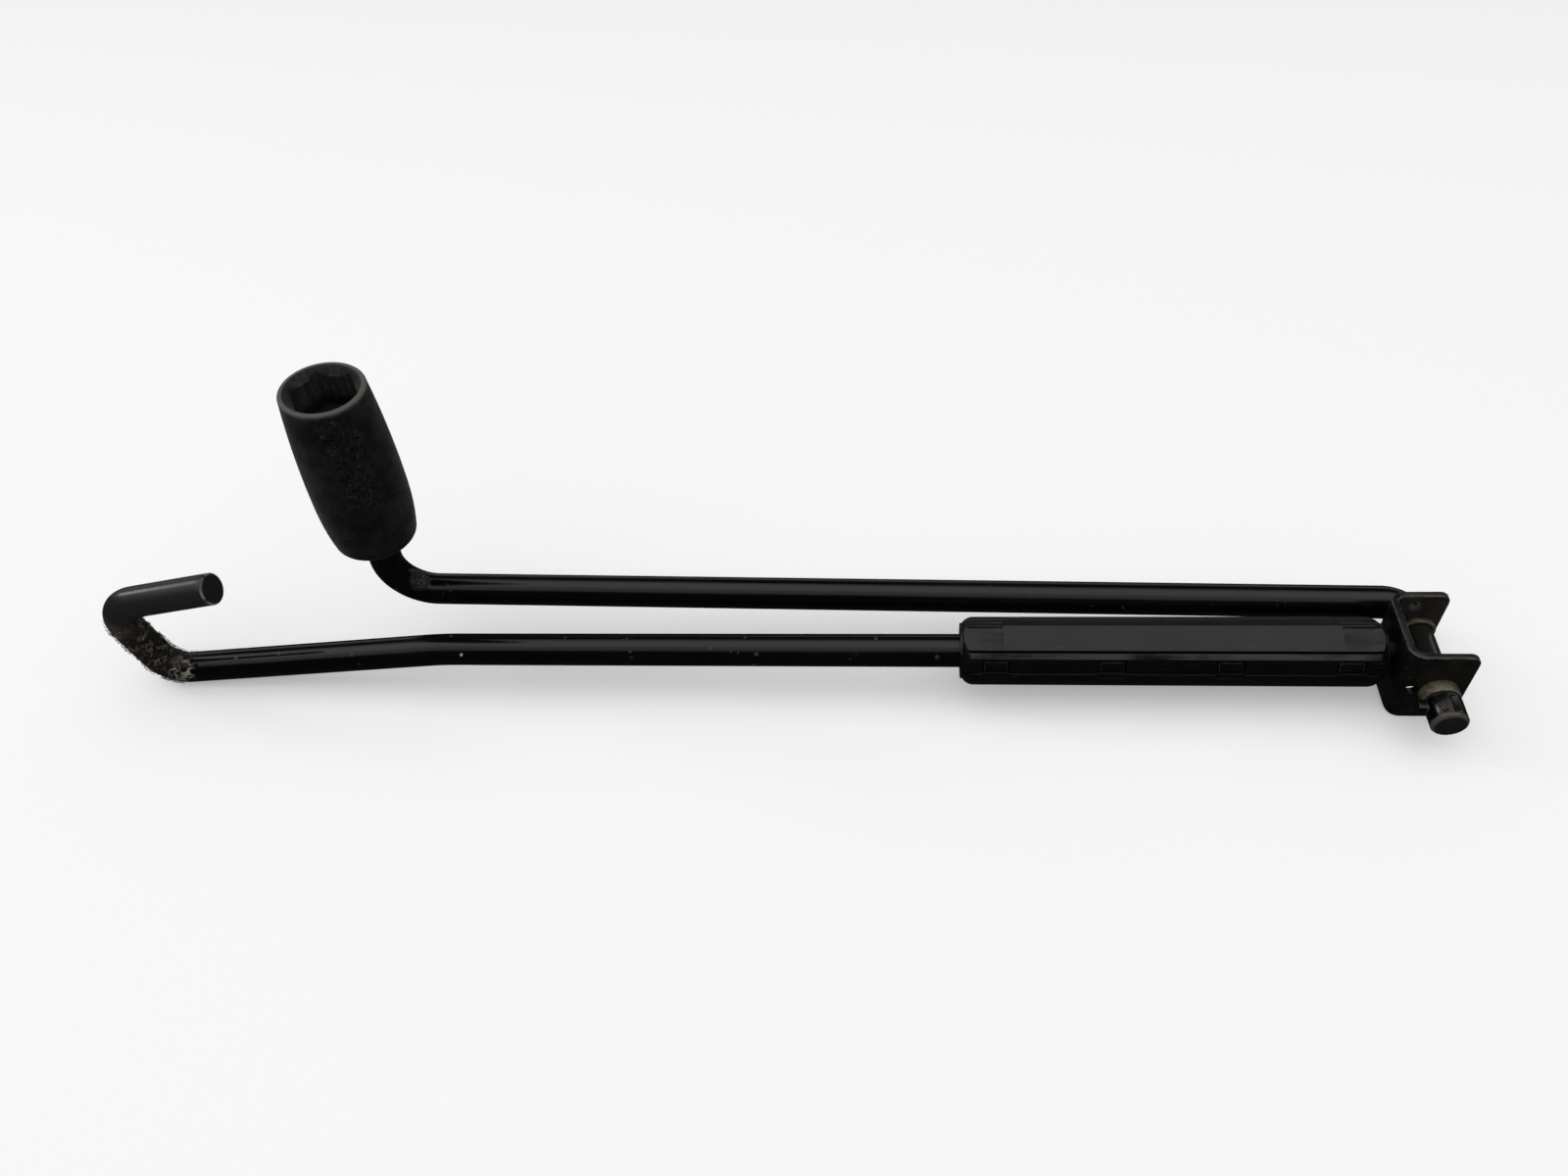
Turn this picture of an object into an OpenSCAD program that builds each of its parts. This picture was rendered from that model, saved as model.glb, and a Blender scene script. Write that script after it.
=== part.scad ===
// Folding jack crank with a wheel socket, in millimetres.
// Two bent steel rods lie side by side. A stamped bracket on the end of the hook rod carries the
// bent-over end of the socket rod, which swings from folded, through a crank, to a straight wrench.
// A sleeve of two snapped shells turns freely on the hook rod. The crank lies folded on a flat
// surface, +X runs along the rods from the hook to the bracket, and +Z is up.

/* [Rods] */
// Diameter of both rods
rod_d = 10; // [8.5:0.5:12]
// Chamfer sawn on the free rod ends
end_chamfer = 0.7; // [0.2:0.1:1.5]

/* [Hook rod] */
// Straight shank, from the back of the web to the jog
shank_len = 279; // [200:1:380]
// Turn of the jog below the shank's line, in degrees
jog_turn = 6.2; // [2:0.1:9]
// Bend radius where the jog starts
jog_bend_r = 90; // [50:5:150]
// Straight run of the jog, up to the lower bend
jog_len = 85; // [50:0.5:130]
// Turn of the lower bend, in degrees
low_turn = 86.4; // [80:0.1:95]
// Radius of the lower bend
low_bend_r = 8.5; // [7:0.5:12]
// Straight upright between the two bends
upright_len = 14; // [10:0.5:30]
// Turn of the upper bend, in degrees
top_turn = 88; // [80:0.5:95]
// Radius of the upper bend
top_bend_r = 10.5; // [7:0.5:14]
// Straight pin of the hook, that goes into the jack's eye
hook_pin_len = 30; // [22:0.5:45]

/* [Socket rod] */
// Bend radius beside the bracket
pin_bend_r = 7.5; // [6.5:0.5:12]
// Straight arm between its two bends
arm_len = 292.6; // [220:0.1:380]
// Turn of the elbow below the socket, in degrees
elbow_turn = 93.2; // [88:0.1:98]
// Radius of the elbow
elbow_bend_r = 13.5; // [8:0.5:16]
// Straight rod between the elbow and the socket's base
neck_len = 11.4; // [8:0.1:30]
// How far the folded arm stands off the shank's line, in degrees
rest_tilt = 1.5; // [0:0.05:2.5]

/* [Socket] */
// Length of the barrel
socket_len = 57; // [52:0.5:66]
// Outside diameter at the mouth
mouth_d = 23.8; // [22.5:0.1:26]
// Outside diameter at the belly
belly_d = 27.8; // [25:0.1:30]
// Outside diameter at the base
base_d = 24.4; // [20:0.1:26]
// Height of the belly above the base
belly_h = 20; // [14:0.5:26]
// Across the flats of the bolt head
hex_af = 17; // [14:1:17]
// Play between bolt head and socket, across the flats
hex_play = 0.2; // [0.1:0.05:0.5]
// Depth of the hexagon
hex_depth = 13; // [10:0.5:16]
// Depth of the cone that leads into it
lead_in = 2.6; // [1:0.1:4]
// How far the rod is pressed into the base
rod_seat = 34; // [20:1:38]

/* [Hinge bracket] */
// Thickness of the plate
plate_t = 2; // [1.5:0.1:3]
// Width over the two ears
bracket_w = 24.6; // [22:0.2:32]
// Reach of the near ear from the back of the web
bracket_reach = 18.8; // [17:0.1:22]
// How much shorter the far ear is
far_ear_short = 1.7; // [0:0.1:1.8]
// Height above the shank's axis
bracket_rise = 12.4; // [11:0.1:16]
// Depth below the shank's axis
bracket_drop = 14.7; // [12.5:0.1:18]
// Outside bend radius between web and ears
bracket_bend_r = 4.5; // [3.5:0.1:4.8]
// Corner radius at the tips of the ears
tip_r = 3; // [1:0.1:5]
// Corner radius at the lower back of the ears
heel_r = 2.4; // [1:0.1:6]
// Hinge axis, in front of the back of the web
pin_x = 11.2; // [11:0.1:14]
// Hinge axis, below the shank's axis
pin_drop = 2.2; // [0:0.1:4]
// Diameter of the location hole in the far ear
far_hole_d = 4; // [2:0.1:4.5]
// Diameter of the location hole in the near ear
near_hole_d = 3.4; // [2:0.1:3.4]
// Hole in the far ear, behind and above the hinge axis
far_hole = [2.8, 10.2];
// Hole in the near ear, behind and above the hinge axis
near_hole = [7.2, 0.3];

/* [Hinge pin and bushes] */
// Diameter of the pin in the bushes
journal_d = 8.2; // [7:0.1:9]
// Radial play of the pin in the bushes
run_fit = 0.05; // [0.02:0.01:0.1]
// End play between the rod's shoulders and the ears
end_play = 0.3; // [0.2:0.1:0.6]
// Diameter of the upset head of the pin
head_d = 10; // [9.5:0.1:11]
// Length of the upset head
head_len = 8.3; // [6:0.1:10]
// How far the pinched lug stands out of the head
lug_out = 2.3; // [1:0.1:2.6]
// Wall of the bushes
bush_wall = 0.6; // [0.5:0.1:0.7]
// Diameter of the bushes' flanges
flange_d = 10.4; // [10.4:0.1:12]
// Thickness of the far bush's flange, inside its ear
far_flange_t = 1.5; // [1:0.1:3]
// Thickness of the near bush's flange, outside its ear
near_flange_t = 3.5; // [1.5:0.1:5]

/* [Grip] */
// Length of the sleeve
grip_len = 120; // [100:1:150]
// Diameter of the sleeve
grip_d = 20.4; // [19:0.1:24]
// Gap between the sleeve and the web
grip_gap = 2.2; // [1:0.1:4]
// Wall of the shells
grip_wall = 2; // [1.6:0.1:2.5]
// Radial play of the sleeve on the rod
grip_play = 0.1; // [0.05:0.05:0.3]
// Rounding of the sleeve's ends
grip_round = 4; // [1:0.1:4]
// Turn of the parting line from the near side, in degrees
parting = 8; // [0:1:60]
// Length of the ribbed ends of the flat panels
end_zone = 12.4; // [8:0.1:16]
// Number of snap latches along each edge
latches = 4; // [2:1:5]
// Length of a latch window
window_len = 7.8; // [6:0.1:10]
// From the sleeve's end to the middle of the first window
window_inset = 10.2; // [9:0.1:14]
// Thickness of the inner ribs that run on the rod
rib_t = 2; // [1.2:0.1:3]

/* [Hidden] */
$fn = 72;

rod_r = rod_d / 2;
seat_fit = 0.02;
bend_thin = 0.05;
bend_overlap = 0.05;

// Hook rod, as straights and turns, drawn from the tip of the shank in the bracket
weld_leg = 1.9;
tip_out = plate_t + 1.6;
hook_feeds = [tip_out + shank_len, jog_len, upright_len, hook_pin_len];
hook_turns = [jog_turn, -low_turn, -top_turn];
hook_radii = [jog_bend_r, low_bend_r, top_bend_r];

// Hinge pin, along Y
ear_y = bracket_w / 2;
journal_r = journal_d / 2;
bush_bore_r = journal_r + run_fit;
bush_r = bush_bore_r + bush_wall;
shoulder_y = ear_y + end_play;
head_y = -ear_y - near_flange_t - end_play;
shoulder_len = 0.5;
arm_y = shoulder_y + shoulder_len + pin_bend_r;
arm_feeds = [arm_len, neck_len + rod_seat];

// Sleeve: stations are measured from its bracket end, angles from the parting line
grip_r = grip_d / 2;
cavity_r = grip_r - grip_wall;
end_wall = 2.5;
recess_depth = 0.6;
recess_end = 29;
window_angles = [1.6, 25];
strip_end = -7;
strip_t = 1.1;
strip_gap = 0.12;
flat_half = 23.2;
flat_mids = [90 - flat_half, 90 + flat_half];
flat_at = grip_r * cos(flat_half);
groove_angles = [41.3, 138.7];
groove_w = 0.9;
groove_depth = 0.5;
step_depth = 0.25;
finger_t = 1;
finger_gap = 0.25;
latch_step = (grip_len - 2 * window_inset) / (latches - 1);
latch_at = [for (i = [0 : latches - 1]) window_inset + i * latch_step];
stop_len = 4;
stop_play = 0.5;
stop_out = 1.2;
stop_rib = stop_len / 2 + stop_play + rib_t / 2;
rib_at = [for (i = [0 : latches - 2]) let (m = latch_at[i] + latch_step / 2)
    if (abs(m - grip_len / 2) > 2 * stop_rib) m];

// Heading, start, centre and end of bend i of a bar that starts at [0, 0] along +X
function total(v, n) = n == 0 ? 0 : v[n - 1] + total(v, n - 1);
function aim(a) = [cos(a), sin(a)];
function bend_start(f, t, r, i) = (i == 0 ? [0, 0] : bend_end(f, t, r, i - 1))
    + f[i] * aim(total(t, i));
function bend_centre(f, t, r, i) = bend_start(f, t, r, i)
    + sign(t[i]) * r[i] * aim(total(t, i) + 90);
function bend_end(f, t, r, i) = bend_centre(f, t, r, i)
    - sign(t[i]) * r[i] * aim(total(t, i + 1) + 90);

// The frame's origin: middle of the footprint, on the surface that the crank lies on.
// The hook rod is drawn along +X and then turned round, so its plan x runs backwards.
low_centre = bend_centre(hook_feeds, hook_turns, hook_radii, 1);
top_centre = bend_centre(hook_feeds, hook_turns, hook_radii, 2);
x_min = tip_out - top_centre.x - top_bend_r - rod_r;
x_max = max(bracket_reach, pin_x + max(head_d, flange_d) / 2);
y_min = head_y - head_len;
y_max = arm_y + belly_d / 2;
z_min = min(-bracket_drop, -low_centre.y - low_bend_r - rod_r);
origin = [(x_min + x_max) / 2, (y_min + y_max) / 2, z_min];

module in_frame() { translate(-origin) children(); }

// Bar turned through an angle about [0, r], starting at the origin along +X. Bending draws it a
// hair thinner, and it runs a little way into the straights on both sides.
module turned_bar(angle, r, d) {
    into = bend_overlap / r * 180 / PI;
    translate([0, r, 0]) rotate([0, 0, -90 - into])
        rotate_extrude(angle = angle + 2 * into) translate([r, 0]) circle(d = d - bend_thin);
}

// Bent bar from the origin along +X: straights f, turns t (left is positive) with radii r
module bent_bar(f, t, r, d, i = 0) {
    last = i == len(t);
    rotate([0, 90, 0]) cylinder(d = d, h = f[i] - (last ? end_chamfer : 0));
    translate([f[i], 0, 0])
        if (last)
            translate([-end_chamfer, 0, 0]) rotate([0, 90, 0])
                cylinder(d1 = d, d2 = d - 2 * end_chamfer, h = end_chamfer);
        else
            mirror([0, t[i] < 0 ? 1 : 0, 0]) {
                turned_bar(abs(t[i]), r[i], d);
                translate([0, r[i], 0]) rotate([0, 0, abs(t[i])]) translate([0, -r[i], 0])
                    mirror([0, t[i] < 0 ? 1 : 0, 0]) bent_bar(f, t, r, d, i + 1);
            }
}

// Stands the XY plane up as XZ
module upright() { rotate([90, 0, 0]) children(); }

// Hook rod: shank, jog and hook, with two pinched lugs that hold the sleeve along the rod
module hook_rod() {
    stop_x = -grip_gap - grip_len / 2;
    color("#1b1c1e") in_frame() {
        translate([tip_out, 0, 0]) rotate([0, 180, 0]) upright()
            bent_bar(hook_feeds, hook_turns, hook_radii, rod_d);
        translate([stop_x, 0, 0])
            cube([stop_len, 2 * (rod_r + stop_out), rod_d * 0.24], center = true);
    }
}

// Outline with its own radius at each corner, from the lower left round to the upper left
module cornered(x0, x1, y0, y1, r) {
    polygon([[x0, y0 + r[0]], [x0 + r[0], y0], [x1 - r[1], y0], [x1, y0 + r[1]],
        [x1, y1 - r[2]], [x1 - r[2], y1], [x0 + r[3], y1], [x0, y1 - r[3]]]);
    translate([x0 + r[0], y0 + r[0]]) circle(r = r[0]);
    translate([x1 - r[1], y0 + r[1]]) circle(r = r[1]);
    translate([x1 - r[2], y1 - r[2]]) circle(r = r[2]);
    translate([x0 + r[3], y1 - r[3]]) circle(r = r[3]);
}

// Plan of the bent strip: web across, one ear at each end
module channel_plan() {
    inner_r = bracket_bend_r - plate_t;
    difference() {
        cornered(0, 2 * bracket_reach, -ear_y, ear_y,
            [bracket_bend_r, 0.1, 0.1, bracket_bend_r]);
        cornered(plate_t, 3 * bracket_reach, -ear_y + plate_t, ear_y - plate_t,
            [inner_r, 0.1, 0.1, inner_r]);
    }
}

// Bore along Y through the ear on one side: -1 near, 1 far
module ear_hole(side, back, up, r) {
    translate([pin_x - back, side * ear_y, -pin_drop + up])
        upright() cylinder(r = r, h = 4 * plate_t, center = true);
}

// Side view of the bracket, as far as one ear reaches
module ear_outline(reach) {
    cornered(0, reach, -bracket_drop, bracket_rise, [heel_r, tip_r, tip_r, 0.4]);
}

module hinge_bracket() {
    color("#232323") in_frame() difference() {
        intersection() {
            translate([0, 0, -bracket_drop - 1])
                linear_extrude(bracket_rise + bracket_drop + 2) channel_plan();
            upright() {
                linear_extrude(bracket_w + 2, center = true)
                    ear_outline(bracket_reach - far_ear_short);
                linear_extrude(bracket_w) ear_outline(bracket_reach);
            }
        }
        translate([-1, 0, 0]) rotate([0, 90, 0]) cylinder(r = rod_r + seat_fit, h = plate_t + 2);
        ear_hole(1, 0, 0, bush_r + seat_fit);
        ear_hole(-1, 0, 0, bush_r + seat_fit);
        ear_hole(1, far_hole.x, far_hole.y, far_hole_d / 2);
        ear_hole(-1, near_hole.x, near_hole.y, near_hole_d / 2);
    }
}

// Fillet of weld round the shank's tip, on the inner face of the web
module bracket_weld() {
    leg = weld_leg;
    color("#2a2a2a") in_frame()
        translate([plate_t, 0, 0]) rotate([0, 90, 0]) rotate_extrude()
            difference() {
                translate([rod_r + seat_fit, 0]) square(leg);
                translate([rod_r + seat_fit + leg * 1.35, leg * 1.35]) circle(r = leg * 1.05);
            }
}

// Flanged bush: barrel through the ear, flange against its face, turned towards +Z
module flanged_bush(flange_t) {
    rim = 0.35;
    difference() {
        union() {
            translate([0, 0, -plate_t]) cylinder(r = bush_r, h = plate_t);
            cylinder(d = flange_d, h = flange_t - rim);
            translate([0, 0, flange_t - rim])
                cylinder(d1 = flange_d, d2 = flange_d - 2 * rim, h = rim);
        }
        translate([0, 0, -plate_t - 1]) cylinder(r = bush_bore_r, h = plate_t + flange_t + 2);
    }
}

module far_bush() {
    color("#8a8264") in_frame()
        translate([pin_x, ear_y - plate_t, -pin_drop]) upright() flanged_bush(far_flange_t);
}

module near_bush() {
    color("#8a8264") in_frame()
        translate([pin_x, -ear_y, -pin_drop]) upright() flanged_bush(near_flange_t);
}

// Places the socket arm: its own frame has the hinge axis along Y and the arm along -X
module on_hinge() {
    in_frame() translate([pin_x, 0, -pin_drop]) rotate([0, rest_tilt, 0]) children();
}

// Upset end of the pin, outside the near ear: pinched lug, punched groove, dimple, worn rim
module pin_head() {
    rim = 0.8;
    groove_turn = 78;
    difference() {
        union() {
            translate([0, head_y, 0]) upright() cylinder(d = head_d, h = head_len - rim);
            translate([0, head_y - head_len + rim, 0]) upright()
                cylinder(d1 = head_d, d2 = head_d - 2 * rim, h = rim);
            translate([-head_d / 2 - lug_out, head_y - 3.6, -1.5]) cube([head_d / 2, 3.6, 3]);
        }
        translate([0, head_y - 1, 0]) rotate([0, -groove_turn, 0])
            translate([head_d / 2 + 0.5, 0, 0]) upright() cylinder(r = 1.3, h = 5.2);
        translate([-2.3, head_y - 5.4, head_d / 2 - 1]) cylinder(r1 = 0.3, r2 = 1, h = 1);
    }
}

// Socket rod: pin with its shoulder and head, side bend, arm, elbow and the end in the socket
module socket_rod() {
    color("#1b1c1e") on_hinge() {
        translate([0, shoulder_y, 0]) upright() cylinder(r = journal_r, h = shoulder_y - head_y);
        pin_head();
        translate([0, shoulder_y + shoulder_len, 0]) {
            upright() cylinder(d = rod_d, h = shoulder_len);
            rotate([0, 0, 90]) turned_bar(90, pin_bend_r, rod_d);
        }
        translate([-pin_bend_r, arm_y, 0]) rotate([0, 0, 180]) upright()
            bent_bar(arm_feeds, [elbow_turn], [elbow_bend_r], rod_d);
    }
}

// Half profile of the barrel: bellied side, rounded base edge and mouth lip
function barrel_r(z) = let (
    belly_r = belly_d / 2,
    up = (z - belly_h) / (socket_len - belly_h),
    down = (belly_h - z) / belly_h)
    z > belly_h ? belly_r - (belly_r - mouth_d / 2) * up * up
        : belly_r - (belly_r - base_d / 2) * pow(down, 2.5);
function barrel_profile() = let (base_round = 1.6, lip = 0.8, steps = 22)
    concat([[0, 0]],
        [for (a = [0 : 15 : 90]) [barrel_r(base_round) - base_round * (1 - sin(a)),
            base_round * (1 - cos(a))]],
        [for (i = [1 : steps - 1]) let (z = base_round + (socket_len - lip - base_round) * i / steps)
            [barrel_r(z), z]],
        [for (a = [0 : 15 : 90]) [barrel_r(socket_len - lip) - lip * (1 - cos(a)),
            socket_len - lip * (1 - sin(a))]],
        [[0, socket_len]]);

// Wheel socket: bored right through for the rod, with the hexagon sunk from the mouth
module socket_head() {
    hex_d = (hex_af + hex_play) / cos(30);
    color("#2b2c2e") on_hinge()
        translate([-pin_bend_r - arm_len, arm_y, 0])
            translate([0, 0, elbow_bend_r]) rotate([0, elbow_turn - 90, 0])
            translate([-elbow_bend_r, 0, neck_len])
            difference() {
                rotate_extrude($fn = 96) polygon(barrel_profile());
                translate([0, 0, -1]) cylinder(r = rod_r + seat_fit, h = socket_len);
                translate([0, 0, socket_len - hex_depth])
                    cylinder(d = hex_d, h = hex_depth + 1, $fn = 6);
                translate([0, 0, socket_len - lead_in])
                    cylinder(d1 = hex_d - 2.2, d2 = hex_d + 1.2, h = lead_in + 0.01);
            }
}

// Wedge between two angles, wide enough for the sleeve
module wedge(a0, a1) {
    reach = 3 * grip_r;
    polygon(concat([[0, 0]], [for (i = [0 : 6]) let (a = a0 + (a1 - a0) * i / 6)
        reach * [cos(a), sin(a)]]));
}

// Part of a ring, between two radii and two angles
module ring_part(r0, r1, a0, a1) {
    intersection() {
        difference() {
            circle(r = r1);
            circle(r = r0);
        }
        wedge(a0, a1);
    }
}

// Section of one shell: flats with a groove at each, and the sunk band along its snap edge
module shell_section() {
    difference() {
        intersection() {
            circle(r = grip_r);
            wedge(0, 180);
        }
        for (a = flat_mids) rotate(a) translate([flat_at, -grip_r]) square([grip_r, 2 * grip_r]);
        for (a = groove_angles) rotate(a) translate([grip_r - groove_depth, -groove_w / 2])
            square([1, groove_w]);
        ring_part(grip_r - recess_depth, grip_r + 1, -5, recess_end);
    }
}

// Steps cut in the ends of the flats, deeper towards the top
module end_steps() {
    half = grip_r * sin(flat_half) - 0.35;
    for (k = [0 : 2], m = [0, 1])
        mirror([m, 0, 0]) rotate(flat_mids[0])
            translate([flat_at - step_depth * (k + 1), -half + 2 * half * k / 3])
                square([grip_r, 2 * half / 3 + (k == 2 ? 0 : 0.01)]);
}

// Fine ribs that fill the sunk band between the end window and the sleeve's end
module band_ribs() {
    for (a = [8, 15, 22]) ring_part(grip_r - recess_depth - 0.3, grip_r - 0.25, a - 1.5, a + 1.5);
}

// Latch finger that stands out of the far edge and reaches inside the other shell
module finger() {
    inner = cavity_r - finger_gap - finger_t;
    linear_extrude(window_len - 0.7, center = true) {
        ring_part(inner, cavity_r + 0.1, 155, 178);
        ring_part(inner, cavity_r - finger_gap, 170, 180 + window_angles[1] + 1);
        ring_part(inner, grip_r - recess_depth - 0.1, 180 + window_angles[0] + 1.6,
            180 + window_angles[1] - 1.6);
    }
}

// Strip below a window, that reaches over the parting line into a notch of the other shell
module strip() {
    linear_extrude(window_len, center = true)
        ring_part(grip_r - strip_t, grip_r - 0.1, strip_end, window_angles[0] - 0.1);
}
module strip_notch() {
    linear_extrude(window_len + 2 * strip_gap, center = true)
        ring_part(grip_r - strip_t - strip_gap, grip_r + 1, 180 + strip_end - 1, 185);
}

// Half profile of the inside: a bore that runs on the rod, hollowed between the ribs
module sleeve_bore() {
    stations = concat([end_wall - rib_t / 2],
        [for (z = rib_at) if (z < grip_len / 2) z], [grip_len / 2 - stop_rib],
        [grip_len / 2 + stop_rib], [for (z = rib_at) if (z > grip_len / 2) z],
        [grip_len - end_wall + rib_t / 2]);
    translate([0, -1]) square([rod_r + grip_play, grip_len + 2]);
    for (i = [0 : len(stations) - 2])
        translate([0, stations[i] + rib_t / 2])
            square([cavity_r, stations[i + 1] - stations[i] - rib_t]);
}

// One of the two alike shells, standing on its bracket end with the parting plane along X
module grip_shell() {
    band_end = window_inset - window_len / 2 - 1;
    difference() {
        intersection() {
            union() {
                linear_extrude(grip_len) shell_section();
                linear_extrude(band_end) band_ribs();
                translate([0, 0, grip_len - band_end]) linear_extrude(band_end) band_ribs();
            }
            rotate_extrude() intersection() {
                cornered(-grip_r, grip_r, 0, grip_len,
                    [grip_round, grip_round, grip_round, grip_round]);
                square([grip_r, grip_len]);
            }
        }
        translate([0, 0, -1]) linear_extrude(end_zone + 1) end_steps();
        translate([0, 0, grip_len - end_zone]) linear_extrude(end_zone + 1) end_steps();
        rotate([0, 0, -90]) rotate_extrude() sleeve_bore();
        for (z = latch_at) translate([0, 0, z])
            linear_extrude(window_len, center = true)
                ring_part(cavity_r - 1, grip_r + 1, window_angles[0], window_angles[1]);
        for (z = latch_at) translate([0, 0, z]) strip_notch();
    }
    for (z = latch_at) translate([0, 0, z]) {
        finger();
        strip();
    }
}

// Lays the sleeve along the shank, with the parting line turned to its place
module on_shank(turned) {
    in_frame() translate([-grip_gap, 0, 0]) rotate([0, -90, 0])
        rotate([0, 0, parting - 90 + turned]) children();
}

module grip_shell_upper() { color("#202123") on_shank(0) grip_shell(); }
module grip_shell_lower() { color("#202123") on_shank(180) grip_shell(); }

hook_rod();
hinge_bracket();
bracket_weld();
far_bush();
near_bush();
socket_rod();
socket_head();
grip_shell_upper();
grip_shell_lower();
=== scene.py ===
"""Folding jack crank: two bent black rods, a stamped hinge bracket, a wheel socket and a sleeve.

The crank lies folded on a pale floor. Sizes are in millimetres, and MM turns them into metres.
Places are measured from the shank's axis at the back of the bracket's web, with X along the rods,
Y across them and Z up, unless a comment names another frame.
"""
import random
from math import atan2, cos, degrees, pi, radians, sin

import bmesh
import bpy
from mathutils import Matrix, Vector, noise


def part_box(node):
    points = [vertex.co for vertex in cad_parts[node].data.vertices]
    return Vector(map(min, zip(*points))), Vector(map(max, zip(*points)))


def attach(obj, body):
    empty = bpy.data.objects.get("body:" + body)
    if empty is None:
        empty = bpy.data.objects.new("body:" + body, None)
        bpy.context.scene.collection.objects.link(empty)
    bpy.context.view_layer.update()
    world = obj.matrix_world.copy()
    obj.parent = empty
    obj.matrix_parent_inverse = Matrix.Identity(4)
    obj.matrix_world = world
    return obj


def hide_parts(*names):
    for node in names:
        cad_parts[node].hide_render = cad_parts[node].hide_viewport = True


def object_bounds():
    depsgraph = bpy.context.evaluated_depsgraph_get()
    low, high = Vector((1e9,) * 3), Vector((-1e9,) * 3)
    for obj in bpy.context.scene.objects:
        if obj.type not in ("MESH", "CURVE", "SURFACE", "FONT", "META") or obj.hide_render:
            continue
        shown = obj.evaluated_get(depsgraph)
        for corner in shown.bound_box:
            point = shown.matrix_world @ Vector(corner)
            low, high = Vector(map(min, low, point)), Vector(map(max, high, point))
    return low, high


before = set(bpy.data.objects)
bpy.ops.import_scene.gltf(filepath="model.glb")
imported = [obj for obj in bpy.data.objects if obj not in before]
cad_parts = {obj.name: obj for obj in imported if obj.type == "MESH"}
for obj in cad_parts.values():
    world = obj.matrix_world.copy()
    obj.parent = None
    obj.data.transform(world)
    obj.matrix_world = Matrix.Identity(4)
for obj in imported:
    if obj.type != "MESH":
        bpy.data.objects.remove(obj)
cad_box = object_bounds()

MM = 0.001
scene = bpy.context.scene

# Rods
ROD_R = 5
END_CHAMFER = 0.7
SHANK_TIP = 3.6
SHANK_RUN = 282.6
JOG_TURN, JOG_BEND_R, JOG_RUN = 6.2, 90, 85
LOW_TURN, LOW_BEND_R, UPRIGHT_RUN = 86.4, 8.5, 14
TOP_TURN, TOP_BEND_R, HOOK_PIN_RUN = 88, 10.5, 30
ARM_TILT = 1.5
SHOULDER_Y, SIDE_BEND_R, ARM_RUN = 12.6, 7.5, 292.6
ARM_Y = 20.6
ELBOW_TURN, ELBOW_R, NECK_RUN, ROD_SEAT = 93.2, 13.5, 11.4, 34

# Bracket, hinge pin and bushes
PLATE = 2.0
EAR_Y = 12.3
NEAR_REACH, FAR_REACH = 18.8, 17.1
RISE, DROP = 12.4, 14.7
BEND_R, TIP_R, HEEL_R, EDGE_ROUND = 4.5, 3.0, 2.4, 0.3
PIN_X, PIN_Z = 11.2, -2.2
FAR_HOLE, FAR_HOLE_R = (8.4, 8.0), 2.0
NEAR_HOLE, NEAR_HOLE_R = (4.0, -1.9), 1.7
WELD_LEG = 1.9
JOURNAL_R, HEAD_R, HEAD_Y, HEAD_LEN, LUG_OUT = 4.1, 5.0, -16.1, 8.3, 2.3
BUSH_BORE_R, BUSH_R, FLANGE_R, BUSH_RIM = 4.15, 4.75, 5.2, 0.35
FAR_FLANGE, NEAR_FLANGE = 1.5, 3.5

# The pin's head: pinched lug, punched groove and dimple
LUG_HALF, LUG_LEN, LUG_ROUND = 1.5, 3.6, 0.7
PUNCH_R, PUNCH_OUT, PUNCH_TURN, PUNCH_FROM, PUNCH_TO = 1.3, 0.5, 78, 6.2, 1.0
DIMPLE_R, DIMPLE_DEEP, DIMPLE_X, DIMPLE_DOWN = 1.1, 1.0, -2.3, 5.4

# Wheel socket
SOCKET_LEN, MOUTH_R, BELLY_R, BASE_R, BELLY_H = 57, 11.9, 13.9, 12.2, 20
HEX_CORNER_R = 17.2 / 2 / cos(radians(30))
HEX_DEPTH, LEAD_IN = 13, 2.6

# Sleeve: stations from its bracket end, angles in degrees from a shell's snap edge
GRIP_LEN, GRIP_R, CAVITY_R, GRIP_GAP, GRIP_ROUND = 120, 10.2, 8.2, 2.2, 4
PARTING = 8
BAND_R, BAND_END = 9.6, 29
FLAT_HALF = 23.2
FLAT_AT = GRIP_R * cos(radians(FLAT_HALF))
GROOVE_AT, GROOVE_HALF, GROOVE_R = 41.3, 2.5, 9.2
WINDOWS, WINDOW_LEN, WINDOW_FROM, WINDOW_TO = (10.2, 43.4, 76.6, 109.8), 7.8, 1.6, 25
STRIP_END, STRIP_T = -7, 1.1
END_ZONE, STEP = 12.4, 0.25
INNER_WALLS = ((0, 2.5), (25.8, 27.8), (55.5, 57.5), (62.5, 64.5), (92.2, 94.2), (117.5, 120))

# Marks: places on the hook, the shank, the elbow and the socket's front, where the barrel's painted
# sheen is darkest, and the caked dirt
DUST_AT, PAINT_RUST_AT, END_RUST_AT = (-382, 0, 3), (-387.5, -3.5, 14.5), (-347.5, -3.0, 26)
DIRT_RUST_AT, CHALK_AT, CHIP_AT = (-387.5, -3.5, 13.5), (-374, -3.5, -6.5), (-276.0, -4.3, 2.6)
HOOK_PIN_FOOT, HOOK_PIN_AXIS = (-376.7, 0, 23.16), (0.978867, 0, 0.204496)
CRAZED_AT = (-293.5, 19.0, 11.0)
SOCKET_FRONT = (6.4, -11.3, 0)
DIRT_AT, DIRT_REACH, DIRT_FADE, CHALK_REACH, DIRT_SUNK = (-382.5, 0, 2.5), 12.5, 3.5, 6.5, 0.25
DIRT_MOST, TUCKED_IN = 0.75, -0.06
STRANDS, LINT_R = 230, 0.08

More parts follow.
